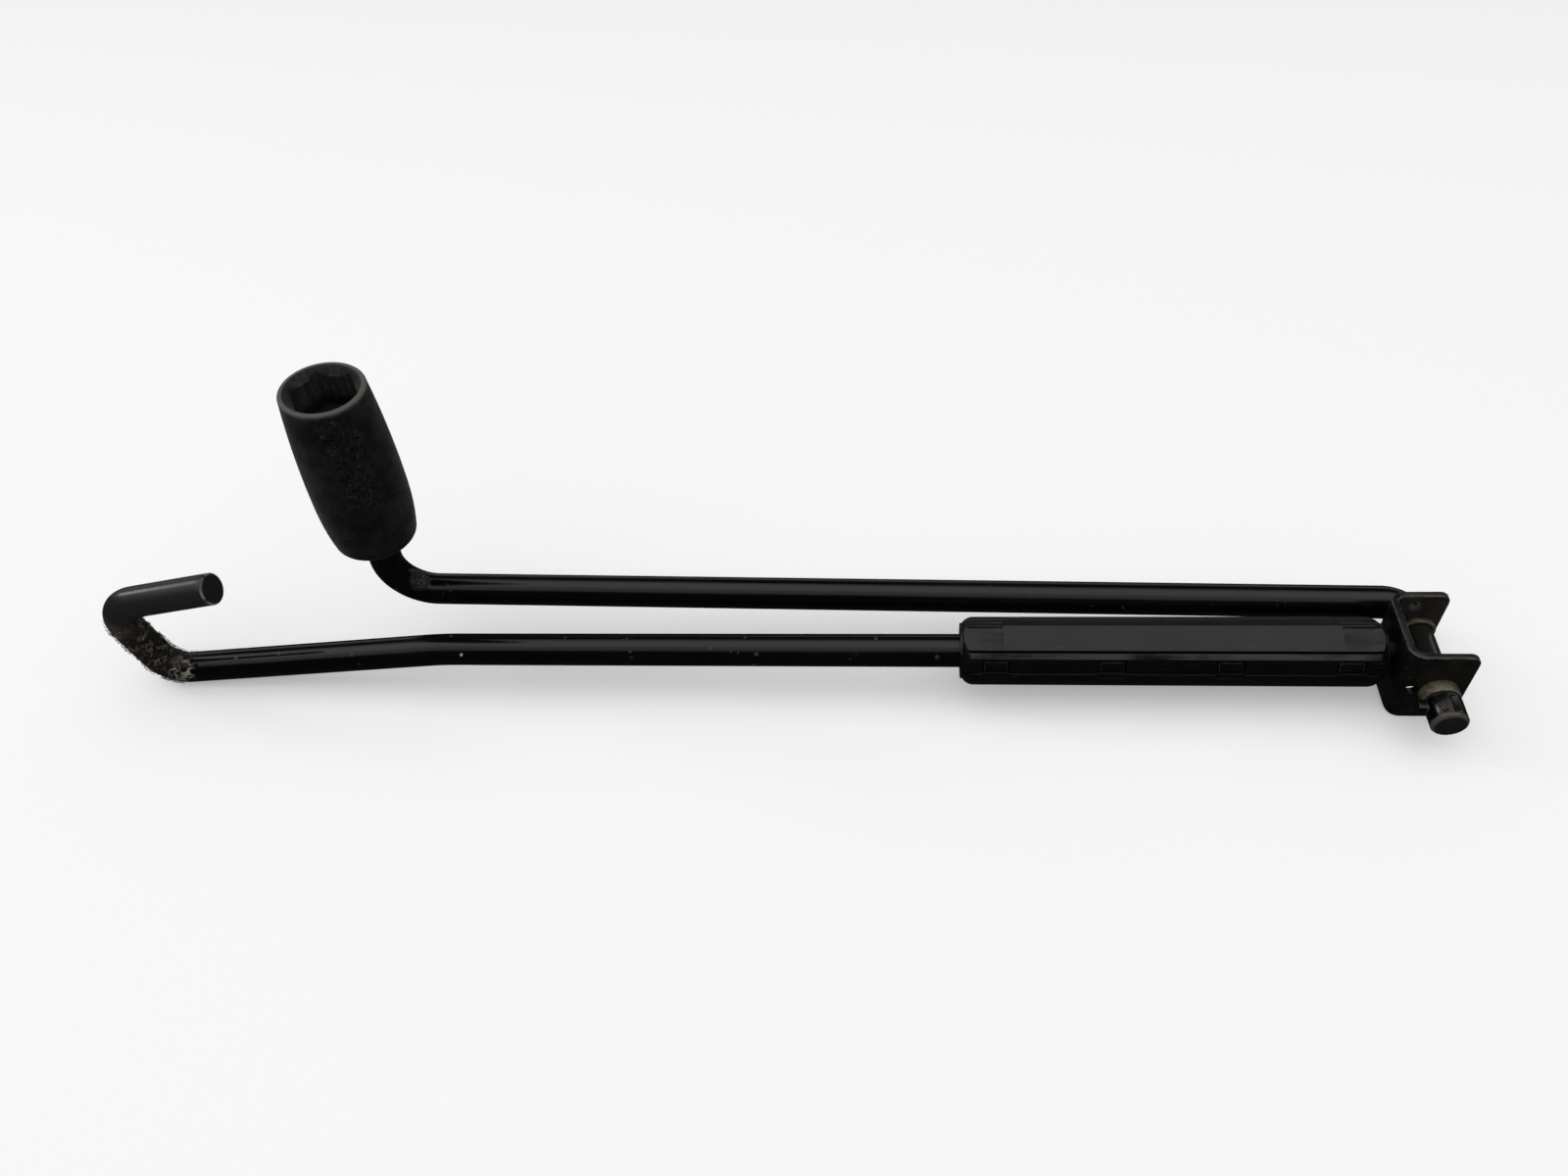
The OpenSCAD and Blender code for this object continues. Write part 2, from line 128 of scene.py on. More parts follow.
# Camera, seen from the shank's frame, and the ceiling lamps as (name, front, back, height, radiance)
LENS, SENSOR = 27.05, 36
CAMERA_AT = (-134.6, -222.6, 281.0)
CAMERA_RIGHT, CAMERA_AHEAD = (0.9936, 0.0722, -0.0870), (-0.1130, 0.6574, -0.7451)
CEILING_WIDTH = 3.4
CEILING = (("ceiling_wide", -1.2, 0.85, 1.1, 0.42), ("ceiling_middle", -0.8, 0.7, 1.12, 0.18),
           ("ceiling_bright", -0.35, 0.5, 1.14, 0.36))

# Frames: the shank's, the swung arm's on its hinge, and the barrel's on the arm's elbow
bracket_low, bracket_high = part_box("hinge_bracket")
SHANK = Vector((bracket_low.x, (bracket_low.y + bracket_high.y) / 2, bracket_low.z + DROP * MM))


def turn(degrees, axis):
    return Matrix.Rotation(radians(degrees), 4, axis)


def shift(x, y, z):
    return Matrix.Translation(Vector((x, y, z)) * MM)


ON_SHANK = Matrix.Translation(SHANK)
ON_HINGE = ON_SHANK @ shift(PIN_X, 0, PIN_Z)
ON_ARM = ON_HINGE @ turn(ARM_TILT, "Y")
ON_BASE = (ON_ARM @ shift(-SIDE_BEND_R - ARM_RUN, ARM_Y, ELBOW_R) @ turn(ELBOW_TURN - 90, "Y")
           @ shift(-ELBOW_R, 0, NECK_RUN))


def on_sleeve(turned):
    """Frame of a shell that stands on its bracket end, with the parting plane along its X."""
    return ON_SHANK @ shift(-GRIP_GAP, 0, 0) @ turn(-90, "Y") @ turn(PARTING - 90 + turned, "Z")


# Modelling helpers

def placed(name, data):
    """An object of this data, in the scene."""
    made = bpy.data.objects.new(name, data)
    scene.collection.objects.link(made)
    return made


def solidified(name, bm):
    """An object with the shape of a bmesh, which is freed."""
    mesh = bpy.data.meshes.new(name)
    bm.to_mesh(mesh)
    bm.free()
    return placed(name, mesh)


def finish_piece(name, bm, finish, body, stands_for=None, sharp=38):
    """Turns a bmesh into a piece that rides on a body, and smooths it up to an angle."""
    bmesh.ops.remove_doubles(bm, verts=bm.verts, dist=0.002 * MM)
    bmesh.ops.recalc_face_normals(bm, faces=bm.faces)
    piece = solidified(name, bm)
    piece.data.materials.append(finish)
    for face in piece.data.polygons:
        face.use_smooth = True
    piece.data.set_sharp_from_angle(angle=radians(sharp))
    if stands_for:
        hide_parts(stands_for)
    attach(piece, body)


def block(low, high):
    """A box between two corners."""
    bm = bmesh.new()
    size = [(b - a) * MM for a, b in zip(low, high)]
    middle = [(a + b) / 2 for a, b in zip(low, high)]
    bmesh.ops.create_cube(bm, size=1, matrix=shift(*middle) @ Matrix.Diagonal((*size, 1)))
    return bm


def drum(radius, low, high, sides=64, top_radius=None):
    """A cylinder or cone along Z between two heights."""
    bm = bmesh.new()
    bmesh.ops.create_cone(
        bm, cap_ends=True, segments=sides, radius1=radius * MM,
        radius2=(radius if top_radius is None else top_radius) * MM, depth=(high - low) * MM,
        matrix=shift(0, 0, (low + high) / 2))
    return bm


def kept_inside(place, margin=0.0):
    """Moves a place that lies outside the part's own box on to its side."""
    return Vector([min(max(c, low + margin * MM), high - margin * MM)
                   for c, low, high in zip(place, *cad_box)])


def lathe(outline, sides=96):
    """Spins an outline of (radius, height) points about Z. An open outline gets flat ends."""
    bm = bmesh.new()
    points = [bm.verts.new((r * MM, 0, z * MM)) for r, z in outline]
    edges = [bm.edges.new(pair) for pair in zip(points, points[1:])]
    bmesh.ops.spin(bm, geom=points + edges, cent=(0, 0, 0), axis=(0, 0, 1), angle=2 * pi,
                   steps=sides, use_merge=True)
    bmesh.ops.remove_doubles(bm, verts=bm.verts, dist=1e-7)
    open_rims = [e for e in bm.edges if e.is_boundary]
    if open_rims:
        bmesh.ops.holes_fill(bm, edges=open_rims, sides=0)
    return bm


def ring(outline, sides=96):
    """Spins a closed outline of (radius, height) points, clear of the axis, about Z."""
    return lathe(outline + outline[:1], sides)


def arc(x, y, radius, start, end, steps=8):
    """Points on an arc, from one angle to another."""
    angles = [radians(start + (end - start) * i / steps) for i in range(steps + 1)]
    return [(x + radius * cos(a), y + radius * sin(a)) for a in angles]


def moved(bm, matrix):
    bmesh.ops.transform(bm, matrix=matrix, verts=bm.verts)
    return bm


def round_edges(bm, size, chosen, segments=3, clamp=True):
    """Bevels the edges that a test picks, and marks the new faces as edges that get rubbed."""
    rubbed = bm.faces.layers.float.get("rubbed_edge") or bm.faces.layers.float.new("rubbed_edge")
    made = bmesh.ops.bevel(bm, geom=[e for e in bm.edges if chosen(e)], offset=size * MM,
                           offset_type="OFFSET", segments=segments, profile=0.5,
                           affect="EDGES", clamp_overlap=clamp, material=-1)
    for face in made["faces"]:
        face[rubbed] = 1.0


def soften(bm, size, degrees, spared=lambda v: False):
    """Breaks a carved shape's sharp edges to their full width, and marks only those as rubbed."""
    bmesh.ops.remove_doubles(bm, verts=bm.verts, dist=size / 3 * MM)
    rubbed = bm.faces.layers.float.get("rubbed_edge")
    if rubbed:
        for face in bm.faces:
            face[rubbed] = 0.0
    sharp = sharper_than(degrees)
    round_edges(bm, size, lambda e: sharp(e) and not any(spared(v) for v in e.verts), 2,
                clamp=False)


def sharper_than(degrees):
    return lambda e: len(e.link_faces) == 2 and e.calc_face_angle(0) > radians(degrees)


def corner_at(x, z):
    """Picks the edges along Y at one place in the side view."""
    return lambda e: all(abs(v.co.x - x * MM) < 1e-5 and abs(v.co.z - z * MM) < 1e-5
                         for v in e.verts)


def upright_at(x):
    """Picks the edges along Z at one place along X."""
    return lambda e: (all(abs(v.co.x - x * MM) < 1e-5 for v in e.verts)
                      and abs(e.verts[0].co.y - e.verts[1].co.y) < 1e-6)


def carve(bm, *steps, flat=1.0):
    """Cuts, joins or crosses a closed shape with others, each given as (operation, shape)."""
    objects = []

    def stand(shape):
        bmesh.ops.recalc_face_normals(shape, faces=shape.faces)
        objects.append(solidified("carving", shape))
        return objects[-1]

    blank = stand(bm)
    for operation, shape in steps:
        tool = blank.modifiers.new("tool", "BOOLEAN")
        tool.operation = operation
        tool.solver = "EXACT"
        tool.object = stand(shape)
    graph = bpy.context.evaluated_depsgraph_get()
    result = bmesh.new()
    result.from_mesh(blank.evaluated_get(graph).to_mesh())
    for obj in objects:
        mesh = obj.data
        bpy.data.objects.remove(obj)
        bpy.data.meshes.remove(mesh)
    bmesh.ops.remove_doubles(result, verts=result.verts, dist=0.004 * MM)
    bmesh.ops.dissolve_degenerate(result, edges=result.edges, dist=0.003 * MM)
    bmesh.ops.dissolve_limit(result, angle_limit=radians(flat), verts=result.verts,
                             edges=result.edges)
    return result


class Bar:
    """A round bar that grows from its first ring by straight runs and bends."""

    def __init__(self, start, heading, radius, sides=64):
        self.bm = bmesh.new()
        self.centre, self.heading = Vector(start), Vector(heading).normalized()
        facing = Vector((0, 0, 1)).rotation_difference(self.heading).to_matrix().to_4x4()
        bmesh.ops.create_circle(self.bm, segments=sides, radius=radius * MM,
                                matrix=Matrix.Translation(self.centre) @ facing)
        self.rim = list(self.bm.edges)
        self.radius = radius
        self.trail = [(self.centre.copy(), self.heading.copy())]
        self.cap()

    def cap(self):
        bmesh.ops.contextual_create(self.bm, geom=self.rim)

    def run(self, length, steps=1, radius=None):
        """Straight on for a length; a new radius is reached evenly over it."""
        radius = self.radius if radius is None else radius
        for i in range(steps):
            grown = bmesh.ops.extrude_edge_only(self.bm, edges=self.rim)["geom"]
            self.rim = [g for g in grown if isinstance(g, bmesh.types.BMEdge)]
            corners = list({v for e in self.rim for v in e.verts})
            move = self.heading * (length * MM / steps)
            bmesh.ops.translate(self.bm, verts=corners, vec=move)
            self.centre = self.centre + move
            self.trail.append((self.centre.copy(), self.heading.copy()))
            share = (self.radius + (radius - self.radius) * (i + 1) / steps) / (
                self.radius + (radius - self.radius) * i / steps)
            if share != 1:
                bmesh.ops.scale(self.bm, vec=(share,) * 3, verts=corners,
                                space=Matrix.Translation(-self.centre))
        self.radius = radius

    def bend(self, degrees, radius, towards, steps):
        """Turns towards a side, round a centre that lies a bend radius away on that side."""
        towards = Vector(towards)
        towards = (towards - self.heading * towards.dot(self.heading)).normalized()
        axis = self.heading.cross(towards)
        pivot = self.centre + towards * radius * MM
        last = bmesh.ops.spin(self.bm, geom=self.rim, cent=pivot, axis=axis,
                              angle=radians(degrees), steps=steps)["geom_last"]
        self.rim = [g for g in last if isinstance(g, bmesh.types.BMEdge)]
        start, ahead = self.centre, self.heading
        for i in range(1, steps + 1):
            spun = Matrix.Rotation(radians(degrees * i / steps), 3, axis)
            self.centre = pivot + spun @ (start - pivot)
            self.heading = (spun @ ahead).normalized()
            self.trail.append((self.centre.copy(), self.heading.copy()))


# Finishes

class Level:
    """A value that varies over a surface; arithmetic on it adds Math nodes to its finish."""

    def __init__(self, finish, socket):
        self.finish, self.socket = finish, socket

    def maths(self, operation, first, second, clamp=False):
        return self.finish.node("Math", {"operation": operation, "use_clamp": clamp},
                                {0: first, 1: second})["Value"]

    def __add__(self, other):
        return self.maths("ADD", self, other)

    def __sub__(self, other):
        return self.maths("SUBTRACT", self, other)

    def __rsub__(self, other):
        return self.maths("SUBTRACT", other, self)

    def __mul__(self, other):
        return self.maths("MULTIPLY", self, other)

    def __pow__(self, other):
        return self.maths("POWER", self, other)

    __radd__, __rmul__ = __add__, __mul__

    def limited(self):
        return self.maths("ADD", self, 0.0, clamp=True)

    def highest(self, other):
        return self.maths("MAXIMUM", self, other)


class Nodes:
    """The nodes of a material or world."""

    def __init__(self, owner):
        owner.use_nodes = True
        self.tree = owner.node_tree
        self.tree.nodes.clear()

    def node(self, kind, settings=None, inputs=None):
        """Adds a node: first its settings, then its sockets' values or links."""
        made = self.tree.nodes.new("ShaderNode" + kind)
        for key, value in (settings or {}).items():
            setattr(made, key, value)
        for key, value in (inputs or {}).items():
            if isinstance(value, Level):
                self.tree.links.new(value.socket, made.inputs[key])
            else:
                made.inputs[key].default_value = value
        return {s.name: Level(self, s) for s in made.outputs if s.enabled}

    def step(self, level, low, high):
        """0 at low, 1 at high and smooth between them; low may be the larger."""
        if low < high:
            return self.node("MapRange", {"interpolation_type": "SMOOTHSTEP"}, {
                "Value": level, "From Min": low, "From Max": high})["Result"]
        return 1 - self.step(level, high, low)

    def shader(self, kind, colour, strength=1.0):
        """A Background, Emission or Diffuse shader of one colour."""
        inputs = {"Color": (*colour, 1)}
        if kind != "BsdfDiffuse":
            inputs["Strength"] = strength
        return next(iter(self.node(kind, None, inputs).values()))

    def surround(self, seen_by_camera, seen_in_gloss, otherwise, output):
        """Shows one shader to the camera, one to glossy rays and one to everything else."""
        paths = self.node("LightPath")
        for rays, shown in (("Is Glossy Ray", seen_in_gloss), ("Is Camera Ray", seen_by_camera)):
            otherwise = self.node("MixShader", None,
                                  {0: paths[rays], 1: otherwise, 2: shown})["Shader"]
        self.node(output, None, {"Surface": otherwise})


class Finish(Nodes):
    """A material; its patterns are measured in millimetres in the shank's frame."""

    def __init__(self, name):
        self.material = bpy.data.materials.new(name)
        super().__init__(self.material)
        place = self.node("TexCoord")["Object"]
        self.where = self.node("Mapping", {"vector_type": "POINT"}, {
            "Vector": place, "Location": SHANK * -1000, "Scale": (1000, 1000, 1000)})["Vector"]

    def vector(self, operation, first, second, result="Vector"):
        return self.node("VectorMath", {"operation": operation}, {0: first, 1: second})[result]

    def spots(self, stretch, offset):
        """The place on the surface, stretched and moved on, for a pattern to read."""
        spots = self.vector("MULTIPLY", self.where, stretch)
        return self.vector("ADD", spots, (offset, offset * 1.7, -offset))

    def noise(self, size, detail=3.0, rough=0.5, stretch=(1, 1, 1), twist=0.0, offset=0.0):
        """Soft clouds whose spots are about size millimetres across, from 0 to 1."""
        return self.node("TexNoise", {"noise_dimensions": "3D"}, {
            "Vector": self.spots(stretch, offset), "Scale": 1 / size, "Detail": detail,
            "Roughness": rough, "Distortion": twist})["Fac"]

    def patches(self, low, high, *clouds, **settings):
        """Clouds with an edge: 0 where their noise is below low, and 1 where it is above high."""
        return self.step(self.noise(*clouds, **settings), low, high)

    def cells(self, size, stretch=(1, 1, 1), offset=0.0):
        """Distance from the nearest of a scatter of points about size millimetres apart."""
        return self.node("TexVoronoi", {"feature": "F1"}, {
            "Vector": self.spots(stretch, offset), "Scale": 1 / size})["Distance"]

    def specks(self, size, share, offset=0.0):
        """Small specks that gather in places; a larger share has them in more places."""
        gathered = self.patches(0.68 - share, 0.8 - share, size * 5, 3, 0.6, offset=offset)
        return self.step(self.cells(size, offset=offset), 0.17, 0.06) * gathered

    def coats(self, colour, *coats):
        """Lays coats of (share, colour) over a colour, one after another."""
        for share, coat in coats:
            made = self.tree.nodes.new("ShaderNodeMix")
            made.data_type = "RGBA"
            self.tree.links.new(share.socket, made.inputs[0])
            made.inputs[7].default_value = (*coat, 1)
            if isinstance(colour, Level):
                self.tree.links.new(colour.socket, made.inputs[6])
            else:
                made.inputs[6].default_value = (*colour, 1)
            colour = Level(self, made.outputs[2])
        return colour

    def near(self, point, inner, outer, ragged=0.0):
        """1 round a point and 0 away from it, with the edge moved by a level."""
        away = self.vector("DISTANCE", self.where, point, "Value")
        return self.step(away + ragged, outer, inner)

    def about(self, foot, direction):
        """(height along an axis, distance from it) for an axis given by its foot."""
        arm = self.vector("SUBTRACT", self.where, foot)
        height = self.vector("DOT_PRODUCT", arm, direction, "Value")
        length = self.vector("DISTANCE", arm, (0, 0, 0), "Value")
        return height, (length * length - height * height).highest(0.0) ** 0.5

    def attribute(self, name):
        return self.node("Attribute", {"attribute_name": name})["Fac"]

    def relief(self, layers):
        """Bump layers of (height, distance in mm); each lies on the one before."""
        normal = None
        for height, depth in layers:
            inputs = {"Height": height, "Distance": depth * MM, "Strength": 1.0}
            if normal is not None:
                inputs["Normal"] = normal
            normal = self.node("Bump", None, inputs)["Normal"]
        return normal

    def surface(self, colour, roughness, layers, metallic=0.0, **constants):
        """The finished material, with its relief given in layers."""
        inputs = {"Base Color": colour, "Roughness": roughness.limited(), "Metallic": metallic,
                  "Normal": self.relief(layers)}
        inputs.update({key.replace("_", " "): value for key, value in constants.items()})
        shader = self.node("BsdfPrincipled", None, inputs)["BSDF"]
        self.node("OutputMaterial", None, {"Surface": shader})
        return self.material


BLACK = (0.0014, 0.0014, 0.0015)
DUSTY_BLACK = (0.007, 0.0067, 0.006)
DUST = (0.11, 0.10, 0.085)
BARE_STEEL = (0.30, 0.29, 0.27)
RUST = (0.085, 0.045, 0.022)


def gloss_paint(f):
    """Gloss black paint on a drawn rod: colour, roughness and relief, with dust and chips."""
    draw = f.noise(0.8, 2, 0.5, stretch=(0.02, 1, 1))
    wave = f.noise(14, 2, 0.4, stretch=(0.5, 1, 1))
    film = f.patches(0.42, 0.75, 22, 4, 0.6, stretch=(0.35, 1, 1))
    grit = f.specks(1.9, 0.12, 40)
    chips = f.step(f.cells(4.6, offset=3) + 0.25 * f.noise(0.7, 3, 0.7), 0.3, 0.25)
    chips = chips * f.patches(0.57, 0.62, 17, 3, 0.6, offset=17)
    colour = f.coats(
        BLACK,
        (film * 0.4, DUSTY_BLACK),
        (grit * 0.6, DUST),
        (chips * 0.7, (0.05, 0.042, 0.035)))
    rough = 0.13 + 0.07 * film + 0.05 * draw + 0.3 * grit + 0.3 * chips
    layers = [(wave, 0.12), (draw, 0.005), (f.noise(1.6, 2, 0.5), 0.01), (1 - chips, 0.05),
              (grit, 0.05)]
    return colour, rough, layers


def hook_rod_finish():
    """Gloss black, with dust film round the hook's upright, a sawn end and a chip."""
    f = Finish("gloss_black_hook_rod")
    colour, rough, layers = gloss_paint(f)
    ragged = f.noise(3.2, 4, 0.65, twist=0.6)
    dusty = f.near(DUST_AT, 13, 22, 9 * ragged)
    rusty = f.near(PAINT_RUST_AT, 5.0, 9.0, 4 * ragged)
    end_rust = f.near(END_RUST_AT, 2.0, 3.6, 2.5 * ragged)
    chip = f.near(CHIP_AT, 0.75, 0.95, 0.8 * f.noise(0.6, 3, 0.6))
    height, across = f.about(HOOK_PIN_FOOT, HOOK_PIN_AXIS)
    at_pin = f.step(across, 6.5, 6.0)
    filmed = f.step(height, -22, -9) * f.step(across, 14, 9) * (0.6 + 0.4 * f.noise(5, 4, 0.6))
    face = f.step(height, 29.75, 29.9) * at_pin
    rim = f.step(height, 29.1, 29.35) * f.step(height, 29.9, 29.7) * at_pin
    spots = f.specks(1.3, 0.3, 7) * dusty
    colour = f.coats(
        colour,
        (filmed, (0.021, 0.0215, 0.0215)),
        (dusty * 0.35, (0.03, 0.027, 0.022)),
        (spots * 0.8, (0.16, 0.14, 0.115)),
        ((rusty * 0.7).highest(end_rust * 0.85), RUST),
        (chip, (0.42, 0.40, 0.37)),
        (face * 0.85, DUSTY_BLACK),
        (rim * f.patches(0.36, 0.6, 2.4, 3, 0.6) * 0.6, BARE_STEEL))
    dull = rusty.highest(end_rust).highest(face * 0.8).highest(chip)
    rough = rough * (1 - dull) + 0.55 * dull + 0.18 * dusty + 0.15 * filmed
    layers += [(spots, 0.12), (dull * f.noise(0.8, 3, 0.7), 0.12)]
    return f.surface(colour, rough, layers)


def socket_rod_finish():
    """Gloss black, with crazed paint on the inside of the elbow, its flakes painted pale as
    sparkling highlights.
    """
    f = Finish("gloss_black_socket_rod")
    colour, rough, layers = gloss_paint(f)
    crazed = f.near(CRAZED_AT, 3.2, 5.2, 3.4 * f.noise(1.1, 4, 0.7, twist=1.5))
    flakes_and_glints = f.patches(0.5, 0.6, 0.8, 3, 0.7, twist=2.5, offset=3)
    # Pale flakes on the crazing: painted glints.
    colour = f.coats(colour, (crazed * flakes_and_glints * 0.8, (0.16, 0.157, 0.15)))
    layers += [(crazed * f.noise(0.9, 3, 0.7, twist=2.5), 0.6)]
    return f.surface(colour, rough + 0.08 * crazed, layers)


def felt_finish():
    """Dirt and lint caked on the hook: grey-brown on top, dark in the hollows partly as painted
    shade, chalky inside.
    """
    f = Finish("caked_dirt_and_lint")
    # Lighter where the crust is raised and darker where it is low: dark dirt, with painted shade in
    # the hollows.
    tops_and_hollow_shade = f.step(f.attribute("crust") + 0.35 * f.noise(0.9, 4, 0.7), 0.35, 0.95)
    ragged = f.noise(2.2, 4, 0.7)
    rusty = f.near(DIRT_RUST_AT, 5.5, 9.5, 4 * ragged)
    chalk = f.near(CHALK_AT, 4.0, 7.0, 3 * f.noise(1.2, 4, 0.6, twist=1.0))
    colour = f.coats(
        (0.004, 0.0035, 0.0028),
        (tops_and_hollow_shade, (0.075, 0.065, 0.05)),
        (rusty * 0.75, (0.115, 0.06, 0.028)),
        (chalk * 0.7, (0.42, 0.38, 0.33)))
    layers = [(f.noise(0.5, 4, 0.75, twist=1.5), 0.22)]
    return f.surface(colour, 0.85 + 0.1 * ragged, layers, Specular_IOR_Level=0.25)


def lint_finish():
    """Pale grey-brown fibres."""
    f = Finish("pale_lint")
    pale = f.patches(0.42, 0.62, 2.5, 3, 0.6)
    colour = f.coats((0.035, 0.03, 0.024), (pale, (0.26, 0.23, 0.19)))
    return f.surface(colour, 0.7 + 0.1 * f.noise(1, 2, 0.5), [(f.noise(0.3, 2, 0.5), 0.02)],
                     Specular_IOR_Level=0.3)


def pin_finish():
    """Upset end of the pin: scuffed paint, with its outer rim rubbed to brown."""
    f = Finish("scuffed_pin_paint")
    height, across = f.about((PIN_X, 0, PIN_Z), (0, -1, 0))
    ragged = f.noise(1.8, 4, 0.7)
    head = f.step(height, 15.9, 16.1)
    end = f.step(height + 0.5 * ragged, 24.2, 24.5)
    rim = f.step(height + 1.4 * ragged, 23.6, 24.3) * f.step(across + 1.2 * ragged, 4.4, 5.2)
    edges = f.attribute("rubbed_edge") * f.step(ragged, 0.35, 0.6)
    scuff = f.patches(0.50, 0.66, 2.4, 5, 0.75, stretch=(1, 0.5, 1)) * head
    journal = f.step(height, 10.5, 9.5) * (0.5 + 0.5 * ragged)
    colour = f.coats(
        (0.0014, 0.0014, 0.0016),
        (scuff * 0.35, (0.012, 0.0115, 0.011)),
        (journal, (0.02, 0.0195, 0.018)),
        (end * 0.7, (0.018, 0.015, 0.0125)),
        ((rim * 0.55).highest(edges * 0.45), (0.13, 0.105, 0.085)))
    rough = 0.16 + 0.2 * scuff + 0.3 * end + 0.15 * rim
    layers = [(f.noise(1.4, 3, 0.5), 0.05), (f.noise(0.5, 3, 0.7), 0.015)]
    return f.surface(colour, rough, layers)


def bracket_finish():
    """Thin black paint on stamped plate, brown with dust that is partly painted light: little on the
    web, more on the ears and most on the far ear, rubbed grey along the edges.
    """
    f = Finish("rubbed_bracket_paint")
    place = f.node("SeparateXYZ", None, {0: f.where})
    # Brown share: dust, and painted light that leaves the web dark and lightens the ears, the far
    # ear most.
    ear_dust_and_light = 0.12 + f.step(place["X"], 2.5, 6) * (0.2 + 1.3 * f.step(place["Y"], -2, 9))
    dust = (0.3 + f.patches(0.33, 0.68, 7, 5, 0.65)) * ear_dust_and_light
    speck = f.specks(1.1, 0.14, 9)
    rubbed = f.attribute("rubbed_edge") * f.patches(0.34, 0.66, 2.2, 4, 0.7)
    scratch = f.patches(0.66, 0.72, 1.2, 3, 0.6, stretch=(0.2, 1, 1.3), twist=0.4)
    colour = f.coats(
        (0.0018, 0.0017, 0.0016),
        (dust.limited(), (0.026, 0.023, 0.018)),
        (rubbed * 0.55, (0.15, 0.145, 0.13)),
        (speck * 0.6, (0.16, 0.15, 0.13)),
        (scratch * 0.25, (0.10, 0.095, 0.085)))
    rough = 0.25 + 0.2 * dust + 0.08 * rubbed + 0.2 * speck
    layers = [(f.noise(2.2, 3, 0.5), 0.05), (f.noise(0.35, 2, 0.6), 0.006), (speck, 0.04)]
    return f.surface(colour, rough, layers)


def weld_finish():
    """Black paint over a rippled weld with spatter."""
    f = Finish("painted_weld")
    spatter = f.step(f.cells(1.4), 0.3, 0.1)
    colour = f.coats((0.006, 0.006, 0.006), (f.noise(1.5, 4, 0.6), (0.028, 0.025, 0.02)))
    layers = [(f.noise(1.2, 3, 0.6), 0.2), (spatter, 0.1)]
    return f.surface(colour, 0.24 + 0.2 * f.noise(2, 3, 0.6), layers)


def bush_finish():
    """Turned steel, passivated olive, with turning lines, dirt and rubbed rims."""
    f = Finish("olive_bush_steel")
    lines = f.noise(0.18, 2, 0.6, stretch=(0.05, 1, 0.05))
    stain = f.patches(0.36, 0.66, 2.6, 4, 0.65)
    rubbed = f.attribute("rubbed_edge") * f.patches(0.3, 0.6, 1.6, 3, 0.6)
    colour = f.coats(
        (0.185, 0.165, 0.11),
        (stain, (0.075, 0.064, 0.043)),
        (rubbed * 0.6, (0.38, 0.355, 0.29)))
    rough = 0.42 + 0.2 * stain + 0.08 * lines
    layers = [(lines, 0.02), (f.noise(1.2, 3, 0.6), 0.03)]
    return f.surface(colour, rough, layers, metallic=0.6)


def socket_finish():
    """Matt black barrel: dust, dark rubbed blotches, fine pits, a pale rubbed mouth, painted sheen
    that lightens the sides, and painted shade deep in the hexagon.
    """
    f = Finish("dusty_socket_black")
    foot, axis = (ON_BASE.translation - SHANK) / MM, ON_BASE.to_3x3() @ Vector((0, 0, 1))
    height, across = f.about(foot, axis)
    up, off = f.about(foot + Vector(SOCKET_FRONT), axis)
    ragged = f.noise(1.6, 4, 0.7)
    top = SOCKET_LEN
    inside = f.step(across, 10.9, 10.4)
    rim = f.step(height + 0.9 * ragged, top - 0.35, top + 0.1) * (1 - inside)
    lip = f.step(height + 1.6 * ragged, top - 0.9, top + 0.6) * f.step(across, 11.0, 11.4)
    dust = f.patches(0.36, 0.62, 6.5, 5, 0.7)
    worn_zone = (f.step(off + 5 * f.noise(4, 4, 0.7, offset=12), 10.5, 5)
                 * f.step(up, 16, 30) * f.step(up, 57, 50))
    blot = f.patches(0.47, 0.55, 2.6, 5, 0.75, twist=0.8, offset=31) * worn_zone
    fine = f.patches(0.5, 0.68, 0.55, 3, 0.7)
    speck = f.specks(1.4, 0.16, 5)
    lines = f.patches(0.63, 0.69, 0.9, 3, 0.6, stretch=(1.2, 1.2, 0.12), twist=0.5)
    streaks = f.patches(0.45, 0.65, 1.3, 3, 0.6, stretch=(1.2, 1.2, 0.1)) * inside
    wrinkle = f.noise(1.5, 5, 0.75, twist=1.2, offset=8)
    # The hexagon's walls are painted near black from 8.5 mm below the mouth downwards: painted
    # shade.
    painted_deep_shade = f.step(height, top - 8.5, top - 11)
    # The dust's grey is darker on the barrel's front and lighter on its sides: painted sheen, on top
    # of the dust.
    grey = (0.35 + 0.65 * dust) * (0.4 + 0.6 * f.step(off, 5, 15)) * (1 - 0.85 * worn_zone)
    colour = f.coats(
        (0.0012, 0.0012, 0.0012),
        (grey, (0.0225, 0.0220, 0.0205)),
        (fine * (0.1 + 0.2 * worn_zone), (0.035, 0.034, 0.032)),
        (blot * 0.95, (0.0004, 0.0004, 0.0004)),
        (f.step(wrinkle, 0.54, 0.66) * worn_zone * 0.5, (0.10, 0.097, 0.09)),
        (lines * 0.10, (0.09, 0.087, 0.08)),
        (inside * 0.6, (0.016, 0.0155, 0.0145)),
        (streaks * 0.5, (0.045, 0.043, 0.039)),
        (speck * (0.25 + 0.5 * inside), (0.15, 0.14, 0.12)),
        (painted_deep_shade * inside * 0.92, (0.0008, 0.0008, 0.0008)),
        ((rim * 0.85).highest(lip * 0.45), (0.115, 0.11, 0.098)))
    rough = 0.5 + 0.16 * dust - 0.3 * blot - 0.1 * rim
    layers = [(f.noise(2.8, 4, 0.65), 0.25), (f.noise(0.6, 3, 0.7), 0.09), (1 - blot, 0.15),
              (wrinkle * worn_zone, 0.5), (speck, 0.06)]
    return f.surface(colour, rough, layers, Specular_IOR_Level=0.3,
                     Sheen_Weight=0.14, Sheen_Roughness=0.3)


